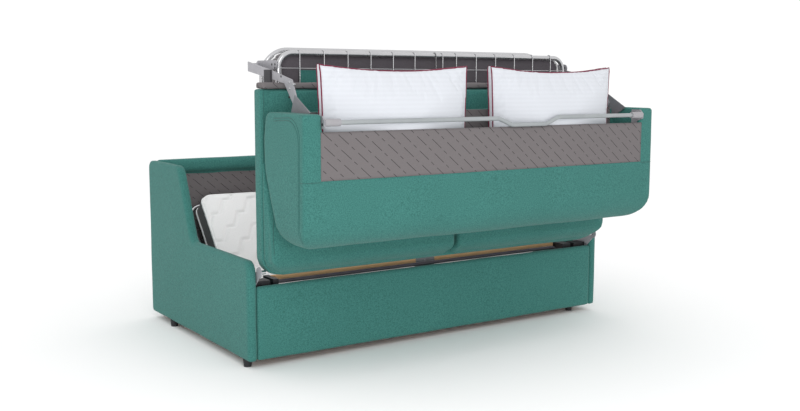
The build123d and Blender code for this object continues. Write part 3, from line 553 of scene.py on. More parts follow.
def stitches(name, paths, material):
    """Stitches along point paths."""
    sizes = bpy.context.scene.sofa_sizes
    values = {
        "Pitch": sizes.stitch_pitch, "Length": sizes.stitch_length,
        "Radius": sizes.seam_radius / 2, "Material": material,
    }
    return grown(path_piece(name, paths), kept_tree("Stitches along paths", stitch_tree), values)


def rivets(name, places, material, radius=None, height=None):
    """Rivet heads. A place is (point, facing)."""
    sizes = bpy.context.scene.sofa_sizes
    piece = new_piece(name, [point for point, _ in places])
    facing = piece.data.attributes.new("facing", "FLOAT_VECTOR", "POINT")
    facing.data.foreach_set("vector", [value for _, way in places for value in way])
    tree = kept_tree("Rivets on points", rivet_tree)
    values = {
        "Radius": radius or sizes.rivet_radius, "Height": height or sizes.rivet_height,
        "Material": material,
    }
    return grown(piece, tree, values)


# Shader groups

FLECK_SHARE = 0.55


def cloth_group():
    """Nubby woven cloth: flecked colour, roughness and thread height."""
    group, start, end = node_group(
        "Woven cloth", "ShaderNodeTree",
        (("Light", "NodeSocketColor", (0.5, 0.5, 0.5, 1.0)),
         ("Dark", "NodeSocketColor", (0.3, 0.3, 0.3, 1.0)),
         ("Thread scale", "NodeSocketFloat", 520.0), ("Fleck", "NodeSocketFloat", 0.6),
         ("Shading", "NodeSocketFloat", 0.2)),
        (("Color", "NodeSocketColor"), ("Roughness", "NodeSocketFloat"), ("Height", "NodeSocketFloat")),
    )
    tree, values = Tree(group), start.outputs
    place = tree.place()
    threads = tree.add("ShaderNodeTexVoronoi", {"Vector": place, "Scale": values["Thread scale"]})
    fleck_scale = tree.math("MULTIPLY", values["Thread scale"], FLECK_SHARE)
    flecks = tree.noise(place, fleck_scale, detail=3.0)
    broad = tree.noise(place, scale=3.5, detail=2.0)
    sharper = tree.ranged(flecks, low=0.38, high=0.68)
    fleck = tree.math("MULTIPLY", sharper, values["Fleck"])
    amount = tree.math("ADD", fleck, tree.math("MULTIPLY", broad, values["Shading"]))
    tree.feed(
        end, Color=tree.mix(amount, values["Light"], values["Dark"]),
        Roughness=tree.ranged(flecks, start=0.82, end=1.0),
        Height=tree.math("SUBTRACT", 1.0, threads.outputs["Distance"]),
    )
    return group


# Turn of the printed lines, shift from lane to lane, and the dashes as shares of a repeat
LINE_TURN = (0.64, 0.77)
LANE_SHIFT = 0.41
LONG_DASH = 0.52
SHORT_DASH = (0.66, 0.82)


def broken_line_group():
    """Slanting lines of a long and a short dash in turn, as a mask."""
    group, start, end = node_group(
        "Broken slanting lines", "ShaderNodeTree",
        (("Pitch", "NodeSocketFloat", 0.036), ("Dash", "NodeSocketFloat", 0.112),
         ("Width", "NodeSocketFloat", 0.031)),
        (("Mask", "NodeSocketFloat"),),
    )
    tree, values = Tree(group), start.outputs
    axes = tree.axes(tree.place())
    height = tree.math("SUBTRACT", axes["Z"], axes["Y"])
    less, more = LINE_TURN
    across = tree.math(
        "ADD", tree.math("MULTIPLY", axes["X"], less), tree.math("MULTIPLY", height, more)
    )
    along = tree.math(
        "SUBTRACT", tree.math("MULTIPLY", axes["X"], more), tree.math("MULTIPLY", height, less)
    )
    lane = tree.math("DIVIDE", across, values["Pitch"])
    from_middle = tree.math("ABSOLUTE", tree.math("SUBTRACT", tree.math("FRACT", lane), 0.5))
    in_line = tree.math("LESS_THAN", from_middle, values["Width"])
    shift = tree.math("MULTIPLY", tree.math("FLOOR", lane), LANE_SHIFT)
    dash = tree.math("FRACT", tree.math("ADD", tree.math("DIVIDE", along, values["Dash"]), shift))
    in_long = tree.math("LESS_THAN", dash, LONG_DASH)
    in_short = tree.math(
        "MULTIPLY", tree.math("GREATER_THAN", dash, SHORT_DASH[0]),
        tree.math("LESS_THAN", dash, SHORT_DASH[1]),
    )
    tree.feed(end, Mask=tree.math("MULTIPLY", in_line, tree.math("MAXIMUM", in_long, in_short)))
    return group


def smudge_group():
    """Light smears on metal and plastic, as roughness and height."""
    group, start, end = node_group(
        "Smears", "ShaderNodeTree",
        (("Scale", "NodeSocketFloat", 14.0), ("Lowest", "NodeSocketFloat", 0.25),
         ("Highest", "NodeSocketFloat", 0.45)),
        (("Roughness", "NodeSocketFloat"), ("Height", "NodeSocketFloat"), ("Fac", "NodeSocketFloat")),
    )
    tree, values = Tree(group), start.outputs
    place = tree.place()
    smear = tree.noise(place, values["Scale"], detail=5.0)
    rough = tree.ranged(smear, low=0.3, high=0.7, start=values["Lowest"], end=values["Highest"])
    tree.feed(
        end, Roughness=rough, Height=tree.noise(place, scale=900.0, detail=1.0), Fac=smear
    )
    return group


# Materials

def darker(tone, share):
    """The colour with less light."""
    return tuple(value * share for value in tone[:3]) + (1.0,)


def new_material(name, **values):
    """A material with its shader, and values for the shader's own sockets."""
    made = bpy.data.materials.new("sofa_" + name)
    made.use_nodes = True
    shader = made.node_tree.nodes["Principled BSDF"]
    for key, value in values.items():
        shader.inputs[key.replace("_", " ")].default_value = value
    return Tree(made.node_tree), shader


def placed_group(tree, name, maker, values):
    """The outputs of a group node with its own values."""
    node = tree.add("ShaderNodeGroup", node_tree=kept_tree(name, maker))
    for key, value in values.items():
        node.inputs[key].default_value = value
    return node.outputs


def bump(tree, height, distance, strength=0.6):
    """A normal from a height."""
    node = tree.add("ShaderNodeBump", {"Height": height, "Distance": distance, "Strength": strength})
    return node.outputs["Normal"]


def woven(tree, light, dark, scale, fleck):
    """Outputs of woven cloth in two thread colours."""
    values = {"Light": light, "Dark": dark, "Thread scale": scale, "Fleck": fleck}
    return placed_group(tree, "Woven cloth", cloth_group, values)


def cloth_material(name, light, dark, scale, fleck, depth, sheen):
    """Woven cloth in two thread colours."""
    tree, shader = new_material(
        name, Sheen_Weight=sheen, Sheen_Roughness=0.45, Specular_IOR_Level=0.2
    )
    cloth = woven(tree, light, dark, scale, fleck)
    tree.feed(
        shader, Base_Color=cloth["Color"], Roughness=cloth["Roughness"],
        Normal=bump(tree, cloth["Height"], depth),
    )


LINE_STRENGTH = 0.95


def lining_material(colours):
    """Grey lining cloth with broken slanting lines."""
    tree, shader = new_material("lining_cloth", Specular_IOR_Level=0.25)
    dark = darker(colours.lining, 0.8)
    cloth = woven(tree, colours.lining, dark, scale=900.0, fleck=0.5)
    lines = placed_group(tree, "Broken slanting lines", broken_line_group, {})
    printed = tree.math("MULTIPLY", lines["Mask"], LINE_STRENGTH)
    tree.feed(
        shader, Base_Color=tree.mix(printed, cloth["Color"], colours.lining_line),
        Roughness=cloth["Roughness"], Normal=bump(tree, cloth["Height"], distance=0.0004),
    )


STRIPE_PITCH = 0.0175
STRIPE_EDGE = 0.25
STRIPE_STRENGTH = 0.5


def striped_cotton(colours):
    """Pillow cotton with level satin stripes."""
    tree, shader = new_material("pillow_cotton", Sheen_Weight=0.15, Specular_IOR_Level=0.3)
    height = tree.axes(tree.place())["Z"]
    wave = tree.math("SINE", tree.math("MULTIPLY", height, 2 * math.pi / STRIPE_PITCH))
    band = tree.ranged(wave, -STRIPE_EDGE, STRIPE_EDGE)
    cloth = woven(tree, colours.cotton, darker(colours.cotton, 0.93), scale=1400.0, fleck=0.4)
    satin = darker(colours.cotton, 0.92)
    printed = tree.math("MULTIPLY", band, STRIPE_STRENGTH)
    tree.feed(
        shader, Base_Color=tree.mix(printed, cloth["Color"], satin),
        Roughness=tree.ranged(band, start=0.85, end=0.55),
        Normal=bump(tree, cloth["Height"], distance=0.0002),
    )


def hard_material(name, tone, metallic, lowest, highest):
    """Metal, paint or plastic with smears in its gloss."""
    tree, shader = new_material(name, Metallic=metallic)
    smear = placed_group(tree, "Smears", smudge_group, {"Lowest": lowest, "Highest": highest})
    tree.feed(
        shader, Base_Color=tree.mix(smear["Fac"], tone, darker(tone, 0.8)),
        Roughness=smear["Roughness"],
        Normal=bump(tree, smear["Height"], distance=0.00005, strength=0.4),
    )


WOOD_CONTRAST = 0.38


def wood_material(name, tone, stretch):
    """Wood with its grain stretched by axis."""
    tree, shader = new_material(name)
    drawn = tree.add("ShaderNodeMapping", {"Vector": tree.place(), "Scale": stretch})
    drawn = drawn.outputs["Vector"]
    grain = tree.noise(drawn, scale=9.0, detail=6.0)
    rings = tree.add(
        "ShaderNodeTexWave",
        {"Vector": drawn, "Scale": 2.2, "Distortion": 7.0, "Detail": 3.0}, bands_direction="Z",
    )
    both = tree.math("ADD", grain, rings.outputs["Fac"])
    amount = tree.math("MULTIPLY", both, WOOD_CONTRAST)
    tree.feed(
        shader, Base_Color=tree.mix(amount, tone, darker(tone, 0.72)),
        Roughness=tree.ranged(grain, start=0.5, end=0.75),
        Normal=bump(tree, grain, distance=0.0005, strength=0.4),
    )


def make_materials():
    """Every material of the sofa bed."""
    colours = bpy.context.scene.sofa_colours
    lining_material(colours)
    striped_cotton(colours)
    cloth_material(
        "cover_cloth", colours.cover, colours.cover_shade,
        scale=430.0, fleck=0.75, depth=0.0012, sheen=0.1,
    )
    # Name, colour, shares of its light in pale and dark threads, scale, fleck, depth, sheen
    cloths = (
        ("cover_thread", colours.cover, 0.62, 0.45, 900.0, 0.5, 0.0003, 0.2),
        ("quilted_ticking", colours.ticking, 1.0, 0.86, 1000.0, 0.5, 0.0004, 0.2),
        ("mattress_border", colours.border, 1.0, 0.6, 700.0, 0.6, 0.0004, 0.2),
        ("mattress_felt", colours.underside, 1.0, 0.7, 600.0, 0.6, 0.0005, 0.3),
        ("mattress_piping", colours.ticking, 1.0, 0.9, 1200.0, 0.3, 0.0002, 0.1),
        ("pillow_piping", colours.piping, 1.0, 0.6, 1500.0, 0.5, 0.0002, 0.3),
    )
    for name, tone, pale, dark, *values in cloths:
        cloth_material(name, darker(tone, pale), darker(tone, dark), *values)
    # Name, colour, metallic share, lowest and highest roughness
    finishes = (
        ("bright_tube", colours.tube, 1.0, 0.16, 0.30),
        ("rivet_steel", colours.tube, 1.0, 0.12, 0.2),
        ("grey_plate", colours.plate, 0.2, 0.36, 0.52),
        # The gussets' grey is darkened by painted shade
        ("shaded_gusset_paint", colours.gusset, 0.2, 0.38, 0.55),
        ("front_tube_paint", colours.front_tube, 0.2, 0.4, 0.6),
        ("dark_steel", colours.dark_steel, 0.5, 0.35, 0.55),
        ("bar_paint", colours.bar, 0.35, 0.34, 0.46),
        ("grey_sleeve", colours.sleeve, 0.0, 0.42, 0.55),
        ("black_plastic", colours.black, 0.0, 0.4, 0.6),
        ("hole_shade", (0.01, 0.01, 0.01, 1.0), 0.0, 0.8, 0.95),
    )
    for finish in finishes:
        hard_material(*finish)
    wood_material("slat_wood", colours.wood, stretch=(0.6, 8.0, 8.0))
    wood_material("hardboard", colours.hardboard, stretch=(5.0, 5.0, 5.0))


def material(name):
    """A material by its name."""
    found = bpy.data.materials.get("sofa_" + name)
    if found is None:
        raise RuntimeError("no material " + name)
    return found


NODE_FINISHES = {
    "hardboard": ("base_board",),
    "black_plastic": (
        "front_left_foot", "rear_left_foot", "front_right_foot", "rear_right_foot",
        "slat_holders", "left_pivot_block", "right_pivot_block",
    ),
    "slat_wood": ("left_slat", "right_slat"),
    "dark_steel": ("front_rail", "left_side_arm", "right_side_arm"),
    "shaded_gusset_paint": ("left_gusset_plate", "right_gusset_plate"),
    "front_tube_paint": ("front_tube",),
    "grey_plate": (
        "slat_bracket", "left_hinge_plate", "right_hinge_plate", "left_head_bracket",
        "right_head_bracket", "left_hoop_plate", "right_hoop_plate", "left_link_plate",
        "right_link_plate", "frame_spacers", "left_bar_bracket", "right_bar_bracket",
    ),
    "bright_tube": ("foot_frame", "guard_hoop", "guard_strip", "head_frame", "middle_frame"),
    "rivet_steel": ("base_pins", "back_pins", "middle_pins"),
    "bar_paint": ("support_bar",),
    "grey_sleeve": ("left_bar_sleeve", "right_bar_sleeve"),
    "lining_cloth": ("pocket_liner",),
}


def finish_nodes():
    """Give the rigid solids that stay their finishes."""
    for finish, names in NODE_FINISHES.items():
        for name in names:
            for slot in nodes[name].material_slots:
                slot.material = material(finish)


# Box: arms, front panel and rear wall

def ridden(piece, body, slot_name, *replaced):
    """Fix a finished piece to its body, with the solids it stands for. The slot name is not used."""
    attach(piece, body)
    if replaced:
        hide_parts(*replaced)
    return piece


# Height of the padded upper edge of the front panel
PAD_EDGE = 0.05


def make_box_covers():
    """Upholstery over the arms, the front panel and the rear wall with its roll."""
    sizes = bpy.context.scene.sofa_sizes
    covers = (
        ("left_arm_cover", ("left_arm",), 0.0),
        ("right_arm_cover", ("right_arm",), 0.0),
        ("front_panel_cover", ("front_panel",), sizes.panel_pad),
        ("rear_cover", ("rear_wall", "rear_roll"), 0.0),
    )
    for name, replaced, pad in covers:
        piece = skin_over(replaced, name, sizes.cover_mesh, sizes.cover_rounds)
        points = coordinates(piece)
        points[:, 2] += pad * portion(points[:, 2] - points[:, 2].max() + PAD_EDGE, PAD_EDGE)
        move_to(piece, points)
        ripple(piece, sizes.cover_ripple)
        paint(piece, material("cover_cloth"))
        ridden(piece, "base", "teal_fabric", *replaced)


# Mesh of a stretched lining, its flat hem, and its waves' height over their width
PANEL_MESH = 0.012
PANEL_HEM = 0.05
PANEL_SQUEEZE = 0.6


def cloth_panel(name, node_name, thickness, depth):
    """A thin panel of stretched cloth over a solid's face, facing the front and slightly uneven."""
    low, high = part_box(node_name)
    scale, seed = RIPPLES[name]
    columns = max(2, round((high.x - low.x) / PANEL_MESH))
    rows = max(2, round((high.z - low.z) / PANEL_MESH))
    points, faces = [], []
    for row in range(rows + 1):
        z = low.z + (high.z - low.z) * row / rows
        for column in range(columns + 1):
            x = low.x + (high.x - low.x) * column / columns
            soft = min(1.0, min(x - low.x, high.x - x, z - low.z, high.z - z) / PANEL_HEM)
            place = Vector((x * scale, seed, z * scale * PANEL_SQUEEZE))
            points.append((x, low.y + depth + depth * soft * noise.noise(place), z))
    for row in range(rows):
        for column in range(columns):
            corner = row * (columns + 1) + column
            faces.append((corner, corner + 1, corner + columns + 2, corner + columns + 1))
    piece = new_piece(name, points, (), faces)
    return paint(shade_smooth(thickened(piece, thickness, -1.0)), material("lining_cloth"))


def make_box_lining():
    """Lining cloth stretched over the rear wall's inner face."""
    sizes = bpy.context.scene.sofa_sizes
    piece = cloth_panel(
        "rear_lining_cloth", "rear_lining", sizes.lining_thickness, sizes.lining_ripple
    )
    ridden(piece, "base", "lining_fabric", "rear_lining")


# Seat

# Hem of the board, lip and filling of the cushions, and the seams' distances from the edges
BOARD_HEM = 0.10
FACING_REAR = 0.8
LIP_HEIGHT = 0.13
LIP_RUN = 0.12
LIP_CURVE = 0.5
CUSHION_AIR = 4.0
CUSHION_FRAMES = 14
CUSHION_SLACK = 0.006
SEAM_INSET = 0.012
SEAM_SETBACK = 0.10
SEAM_FOOT = 0.10
END_LINING_ROUNDS = 3


def make_seat_board():
    """Padded board behind the cushions, with felt on its rear face."""
    sizes = bpy.context.scene.sofa_sizes
    board = skin_over(("seat_box",), "seat_board_cover", sizes.cover_mesh, sizes.cover_rounds)
    low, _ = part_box("seat_box")
    points = coordinates(board)
    points[:, 2] += sizes.board_lift * portion(low.z + BOARD_HEM - points[:, 2], BOARD_HEM)
    move_to(board, points)
    ripple(board, sizes.cover_ripple)
    paint(board, material("cover_cloth"), material("mattress_felt"))
    _, normals = face_arrays(board)
    paint_faces(board, 1, normals[:, 1] > FACING_REAR)
    ridden(board, "seat_unit", "teal_fabric", "seat_box")


def make_seat_cushion(side_name, side):
    """A filled cushion with its lip drawn up at the front, and the seam on its outer edge."""
    sizes = bpy.context.scene.sofa_sizes
    node_name = side_name + "_seat_cushion"
    low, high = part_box(node_name)
    piece = skin_over((node_name,), node_name + "_cover", sizes.cover_mesh, sizes.cushion_rounds)
    points = coordinates(piece)
    near_bottom = portion(low.z + LIP_HEIGHT - points[:, 2], LIP_RUN)
    in_front = portion(high.y - points[:, 1], high.y - low.y)
    points[:, 2] += sizes.lip_lift * near_bottom * in_front ** LIP_CURVE
    points -= directions(piece) * sizes.cushion_swell / 2
    move_to(piece, points)
    held = np.nonzero(points[:, 1] > high.y - 2 * sizes.cover_mesh)[0]
    inflated(piece, CUSHION_AIR, CUSHION_FRAMES, sizes.cushion_swell, CUSHION_SLACK, held)
    ripple(piece, sizes.cushion_ripple)
    paint(piece, material("cover_cloth"))
    ridden(piece, "seat_unit", "teal_fabric", node_name)
    edge_x = side * (max(abs(low.x), abs(high.x)) - SEAM_INSET)
    front = low.y + (high.y - low.y) * SEAM_SETBACK
    path = spaced([(edge_x, front, high.z), (edge_x, front, low.z + SEAM_FOOT)], PATH_STEP)
    path = laid_on(surface_of(piece), path)
    seam = rods(
        side_name + "_cushion_seam", [(path, False)], sizes.seam_radius, material("cover_thread")
    )
    ridden(seam, "seat_unit", "teal_fabric")


def make_seat():
    """Seat cushions, the padded seat board behind them and the lining over its end."""
    sizes = bpy.context.scene.sofa_sizes
    make_seat_board()
    for side_name, side in SIDES:
        make_seat_cushion(side_name, side)
    lining = skin_over(
        ("seat_end_lining",), "seat_end_cloth", sizes.end_lining_mesh, END_LINING_ROUNDS
    )
    ripple(lining, sizes.end_lining_ripple)
    paint(lining, material("lining_cloth"))
    ridden(lining, "seat_unit", "lining_fabric", "seat_end_lining")


# Back

# Height of the hanging padding, and places of the seams from the edges of the back
SAG_HEIGHT = 0.22
CHEEK_INSET = 0.032
CHEEK_BEND = 0.085
CHEEK_TOP = 0.016
CHEEK_END = 0.10
CHEEK_DROP = 0.006
CHEEK_FOOT = 0.01
HEM_GAP = 0.004
HEM_STEP = 0.008
STITCH_LIFT = 0.0006


def cheek_seam(low, high, side, shift):
    """A seam up the front of a cheek, around its corner and back along its top."""
    front = low.y + CHEEK_INSET + shift
    top = high.z - CHEEK_TOP - shift
    bent = arc((front + CHEEK_BEND, top - CHEEK_BEND), CHEEK_BEND, 90, 180, ARC_STEPS)
    line = [(high.y - CHEEK_END, top - CHEEK_DROP)] + bent + [(front, low.z + CHEEK_FOOT)]
    return spaced([(side * high.x, y, z) for y, z in line], PATH_STEP)


def hem_seam(low, high, side):
    """A seam from a cheek's seam to the lower corner of the lining panel."""
    panel_low, panel_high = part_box("back_lining")
    cheek_x, panel_x = side * high.x, side * panel_high.x
    corners = ((cheek_x, low.y + CHEEK_INSET), (cheek_x, low.y), (panel_x, low.y))
    return spaced([(x, y, panel_low.z - HEM_GAP) for x, y in corners], HEM_STEP)


def make_back_cover():
    """Padded cover of the back, hanging a little lower than its solid."""
    sizes = bpy.context.scene.sofa_sizes
    low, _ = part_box("back_shell")
    shell = skin_over(("back_shell",), "back_cover", sizes.back_mesh, sizes.back_rounds)
    points = coordinates(shell)
    points[:, 2] -= sizes.back_sag * portion(low.z + SAG_HEIGHT - points[:, 2], SAG_HEIGHT)
    move_to(shell, points)
    ripple(shell, sizes.cushion_ripple)
    paint(shell, material("cover_cloth"))
    ridden(shell, "backrest", "teal_fabric", "back_shell")
    return shell


def make_back():
    """Padded back with twin seams on its cheeks, and the lining panel with its hem."""
    sizes = bpy.context.scene.sofa_sizes
    surface = surface_of(make_back_cover())
    low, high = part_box("back_shell")
    paths, rows = [], []
    for _, side in SIDES:
        for shift in (0.0, sizes.twin_seam):
            path = cheek_seam(low, high, side, shift)
            paths.append((laid_on(surface, path), False))
            rows.append((laid_on(surface, path, STITCH_LIFT), False))
        paths.append((laid_on(surface, hem_seam(low, high, side)), False))
    seams = rods("back_seams", paths, sizes.seam_radius, material("cover_thread"))
    ridden(seams, "backrest", "teal_fabric")
    thread = stitches("back_stitches", rows, material("cover_thread"))
    ridden(thread, "backrest", "teal_fabric")
    low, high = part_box("back_lining")
    panel = cloth_panel("back_lining_cloth", "back_lining", sizes.panel_thickness, sizes.panel_ripple)
    ridden(panel, "backrest", "lining_fabric", "back_lining")


# Pillows

# How stiff a filled case is, how a pillow is filled, and how its edge is made
CASE_MASS = 0.2
CASE_QUALITY = 5
CASE_STIFFNESS = 15.0
CASE_SHEAR = 5.0
CASE_BENDING = 0.05
PILLOW_AIR = 4.0
PILLOW_FRAMES = 20
PILLOW_SLACK = 0.03
PILLOW_ROUNDS = 2
SEAM_REACH = 0.010
EDGE_STEPS = 30
PIPING_LIFT = 0.4


def inflated(piece, pressure, frames, cap, slack, held):
    """Fill a closed cloth case with air, let no point move further than the cap, and keep the shape."""
    start = coordinates(piece)
    cloth = piece.modifiers.new("fill", "CLOTH")
    settings = cloth.settings
    settings.use_pressure = True
    settings.uniform_pressure_force = pressure
    settings.effector_weights.gravity = 0.0
    settings.mass = CASE_MASS
    settings.quality = CASE_QUALITY
    settings.tension_stiffness = CASE_STIFFNESS
    settings.compression_stiffness = CASE_STIFFNESS
    settings.shear_stiffness = CASE_SHEAR
    settings.bending_stiffness = CASE_BENDING
    settings.shrink_min = -slack
    seam = piece.vertex_groups.new(name="seam")
    seam.add([int(index) for index in held], 1.0, "REPLACE")
    settings.vertex_group_mass = "seam"
    cloth.point_cache.frame_start = 1
    cloth.point_cache.frame_end = frames
    scene = bpy.context.scene
    for number in range(1, frames + 1):
        scene.frame_set(number)
    settled(piece)
    scene.frame_set(1)
    way = coordinates(piece) - start
    reach = np.linalg.norm(way, axis=1)
    share = np.minimum(1.0, cap / np.maximum(reach, TINY))
    move_to(piece, start + way * share[:, None])
    piece.vertex_groups.clear()


def bowed(first, last, bow, steps):
    """Points from the first to the last place, bowed by a shift at the middle."""
    path = []
    for step in range(steps):
        share = step / steps
        path.append(Vector(first).lerp(Vector(last), share) + Vector(bow) * 4 * share * (1 - share))
    return path


def pillow_outline(low, high, y, dip):
    """One round of a pillow's edge: the top dips, the sides draw in and the bottom is straight."""
    corners = [(low.x, y, low.z), (high.x, y, low.z), (high.x, y, high.z), (low.x, y, high.z)]
    bows = [(0, 0, 0), (-dip / 2, 0, 0), (0, 0, -dip), (dip / 2, 0, 0)]
    path = []
    for index, bow in enumerate(bows):
        path += bowed(corners[index], corners[(index + 1) % 4], bow, EDGE_STEPS)
    return path


def near_paths(points, paths, distance):
    """Numbers of the points that lie within a distance of the paths."""
    marks = np.array([tuple(place) for path in paths for place in path])
    found = []
    for index, point in enumerate(points):
        gaps = marks - point
        if (gaps * gaps).sum(1).min() < distance ** 2:
            found.append(index)
    return found


def make_pillow(name):
    """A filled pillow with striped cotton and two piped edges."""
    sizes = bpy.context.scene.sofa_sizes
    low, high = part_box(name)
    piece = skin_over((name,), name + "_case", sizes.pillow_mesh, PILLOW_ROUNDS)
    surface = surface_of(piece)
    middle = (low.y + high.y) / 2
    rounds = []
    for side in (-1, 1):
        y = middle + side * sizes.pillow_band / 2
        rounds.append(laid_on(surface, pillow_outline(low, high, y, sizes.pillow_dip)))
    held = near_paths(coordinates(piece), rounds, SEAM_REACH)
    inflated(piece, PILLOW_AIR, PILLOW_FRAMES, sizes.pillow_swell, PILLOW_SLACK, held)
    ripple(piece, sizes.pillow_ripple)
    surface = surface_of(piece)
    lift = sizes.piping_radius * PIPING_LIFT
    paths = [(laid_on(surface, path, lift), True) for path in rounds]
    cord = rods(name + "_piping", paths, sizes.piping_radius, material("pillow_piping"))
    finer = piece.modifiers.new("finer", "SUBSURF")
    finer.levels = 1
    finer.render_levels = 1
    shade_smooth(settled(piece))
    paint(piece, material("pillow_cotton"))
    ridden(piece, "backrest", "pillow_cotton", name)
    ridden(cord, "backrest", "pillow_cotton")
    for soft in (piece, cord):
        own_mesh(soft)


def make_pillows():
    """Two filled pillows standing in the back's pocket."""
    for side_name, _ in SIDES:
        make_pillow(side_name + "_pillow")


# Mattress

# Quilting's start, the faces it is on, its puff, and the mattress's edges and fold
QUILT_START = 1.2
QUILT_FACING = 0.6
QUILT_FADE = 0.3
QUILT_PUFF = 0.35
EDGE_INSET = 0.003
EDGE_LIFT = 0.2
DRAWN_FROM = 0.6


def quilting(u, v, sizes):
    """How near each place is to a stepped quilted line, from 0 away from it to 1 on it."""
    rise, slant, flat = sizes.quilt_rise, sizes.quilt_slant, sizes.quilt_flat
    nearest = np.full(len(u), 1.0)
    step = np.floor(v / rise)
    for step_shift in (-1, 0, 1):
        level = step + step_shift
        base = u - level * (slant + flat)
        lane = np.floor(base / sizes.quilt_spacing)
        height = v - level * rise
        for lane_shift in (-1, 0, 1, 2):
            side = base - (lane + lane_shift) * sizes.quilt_spacing
            share = np.clip((side * slant + height * rise) / (slant ** 2 + rise ** 2), 0, 1)
            nearest = np.minimum(nearest, np.hypot(side - share * slant, height - share * rise))
            across = np.clip(side, slant, slant + flat)
            nearest = np.minimum(nearest, np.hypot(side - across, height - rise))
    return np.exp(-((nearest / sizes.quilt_width) ** 2))


def quilted(points, normals, facing, u, v):
    """Points drawn in along the quilted lines and pushed out between them, where they face the sleeper."""
    sizes = bpy.context.scene.sofa_sizes
    mark = quilting(u, v, sizes)
    puff = ((1 - mark) * QUILT_PUFF - mark * (1 - QUILT_PUFF)) * sizes.quilt_depth
    return points + normals * (puff * portion(facing - QUILT_FACING, QUILT_FADE))[:, None]


def mattress_cloths(piece, height, lowest, highest, felt_edge):
    """Ticking on top, a border around and felt below, by the height of each face."""
    sizes = bpy.context.scene.sofa_sizes
    cloths = ("quilted_ticking", "mattress_border", "mattress_felt")
    paint(piece, *(material(name) for name in cloths))
    paint_faces(piece, 1, height < highest - sizes.border_edge)
    paint_faces(piece, 2, height < lowest + felt_edge)


def mattress_piping(name, piece, lines):
    """Piping along closed lines on a mattress."""
    sizes = bpy.context.scene.sofa_sizes
    surface = surface_of(piece)
    lift = sizes.mattress_piping * EDGE_LIFT
    paths = [(laid_on(surface, line, lift), True) for line in lines]
    return rods(name, paths, sizes.mattress_piping, material("mattress_piping"))


def rounded(across, along, half, foot, reach, radius):
    """Places on a plate moved inward so that its four corners are arcs."""
    new_across, new_along = across.copy(), along.copy()
    for side in (-1, 1):
        for end, way in ((foot, -1), (reach, 1)):
            over_x = side * across - (half - radius)
            over_y = way * (along - end) + radius
            corner = (over_x > 0) & (over_y > 0)
            share = np.maximum(over_x, over_y) / np.maximum(np.hypot(over_x, over_y), TINY)
            new_across = np.where(corner, side * (half - radius + over_x * share), new_across)
            new_along = np.where(corner, end - way * radius + way * over_y * share, new_along)
    return new_across, new_along


def round_outline(half, foot, reach, radius):
    """A rounded rectangle as (across, along) places, close together."""
    side, top, bottom = half - radius, reach - radius, foot + radius
    corners = (((side, top), 0), ((-side, top), 90), ((-side, bottom), 180), ((side, bottom), 270))
    places = []
    for centre, first in corners:
        places += arc(centre, radius, first, first + 90, ARC_STEPS)
    path = spaced([(x, place, 0) for x, place in places + places[:1]], PATH_STEP)
    return [(point.x, point.y) for point in path[:-1]]


def knee_frame():
    """The knee of the bed, the way up the head section and the way out of its mattress."""
    knee = pivots["middle_level"]
    upward = (pivots["head_fold"] - knee).normalized()
    return knee, upward, Vector((0, -upward.z, upward.y))


def from_knee(places, knee, upward):
    """Offsets from the knee, which of them lie on the head section, and how far along it they are."""
    offset = places - np.array(knee)
    along_head = offset @ np.array(upward)
    on_head = (along_head + offset[:, 1]) > 0
    return offset, on_head, np.where(on_head, along_head, offset[:, 1])


def make_bed_mattress():
    """Head and middle sections in one quilted mattress, shaped with its bend at the knee."""
    sizes = bpy.context.scene.sofa_sizes
    knee, upward, head_out = knee_frame()
    names = ("head_mattress", "middle_mattress")
    piece = skin_over(names, "bed_mattress", sizes.mattress_mesh, sizes.mattress_rounds)
    points, normals = coordinates(piece), directions(piece)
    _, on_head, along = from_knee(points, knee, upward)
    foot, reach = along.min(), along.max()
    fixed = reach * DRAWN_FROM
    drawn = fixed + (along - fixed) * (sizes.head_reach - fixed) / (reach - fixed)
    drawn = np.where(along > fixed, drawn, along)
    ends = (foot, sizes.head_reach, sizes.mattress_corner)
    points[:, 0], moved = rounded(points[:, 0], drawn, points[:, 0].max(), *ends)
    ways = np.where(on_head[:, None], np.array(upward), np.array((0.0, 1.0, 0.0)))
    points += (moved - along)[:, None] * ways
    facing = np.where(on_head, normals @ np.array(head_out), normals[:, 2])
    u, v = points[:, 0] + QUILT_START, drawn + QUILT_START
    move_to(piece, quilted(points, normals, facing, u, v))
    ripple(piece, sizes.mattress_ripple)
    centres, _ = face_arrays(piece)
    offset, on_head, _ = from_knee(centres, knee, upward)
    height = np.where(on_head, offset @ np.array(head_out), offset[:, 2])
    middle_low, middle_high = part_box("middle_mattress")
    lowest, highest = middle_low.z - knee.z, middle_high.z - knee.z
    mattress_cloths(piece, height, lowest, highest, sizes.border_edge)
    meet = math.tan((math.pi / 2 - math.atan2(upward.y, upward.z)) / 2)
    lines = []
    for rise in (lowest + EDGE_INSET, highest - EDGE_INSET):
        line = []
        for x, place in round_outline(points[:, 0].max(), *ends):
            if place > rise * meet:
                line.append(knee + Vector((x, 0, 0)) + upward * place + head_out * rise)
            elif place < -rise * meet:
                line.append(knee + Vector((x, place, rise)))
        lines.append(line)
    cord = mattress_piping("bed_mattress_piping", piece, lines)
    for soft in (piece, cord):
        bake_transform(soft)
    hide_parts(*names)


def upright_edges(points):
    """Half width, foot, reach and corner radius of an upright section of the mattress."""
    corner = bpy.context.scene.sofa_sizes.mattress_corner
    return points[:, 0].max(), points[:, 2].min(), points[:, 2].max(), corner


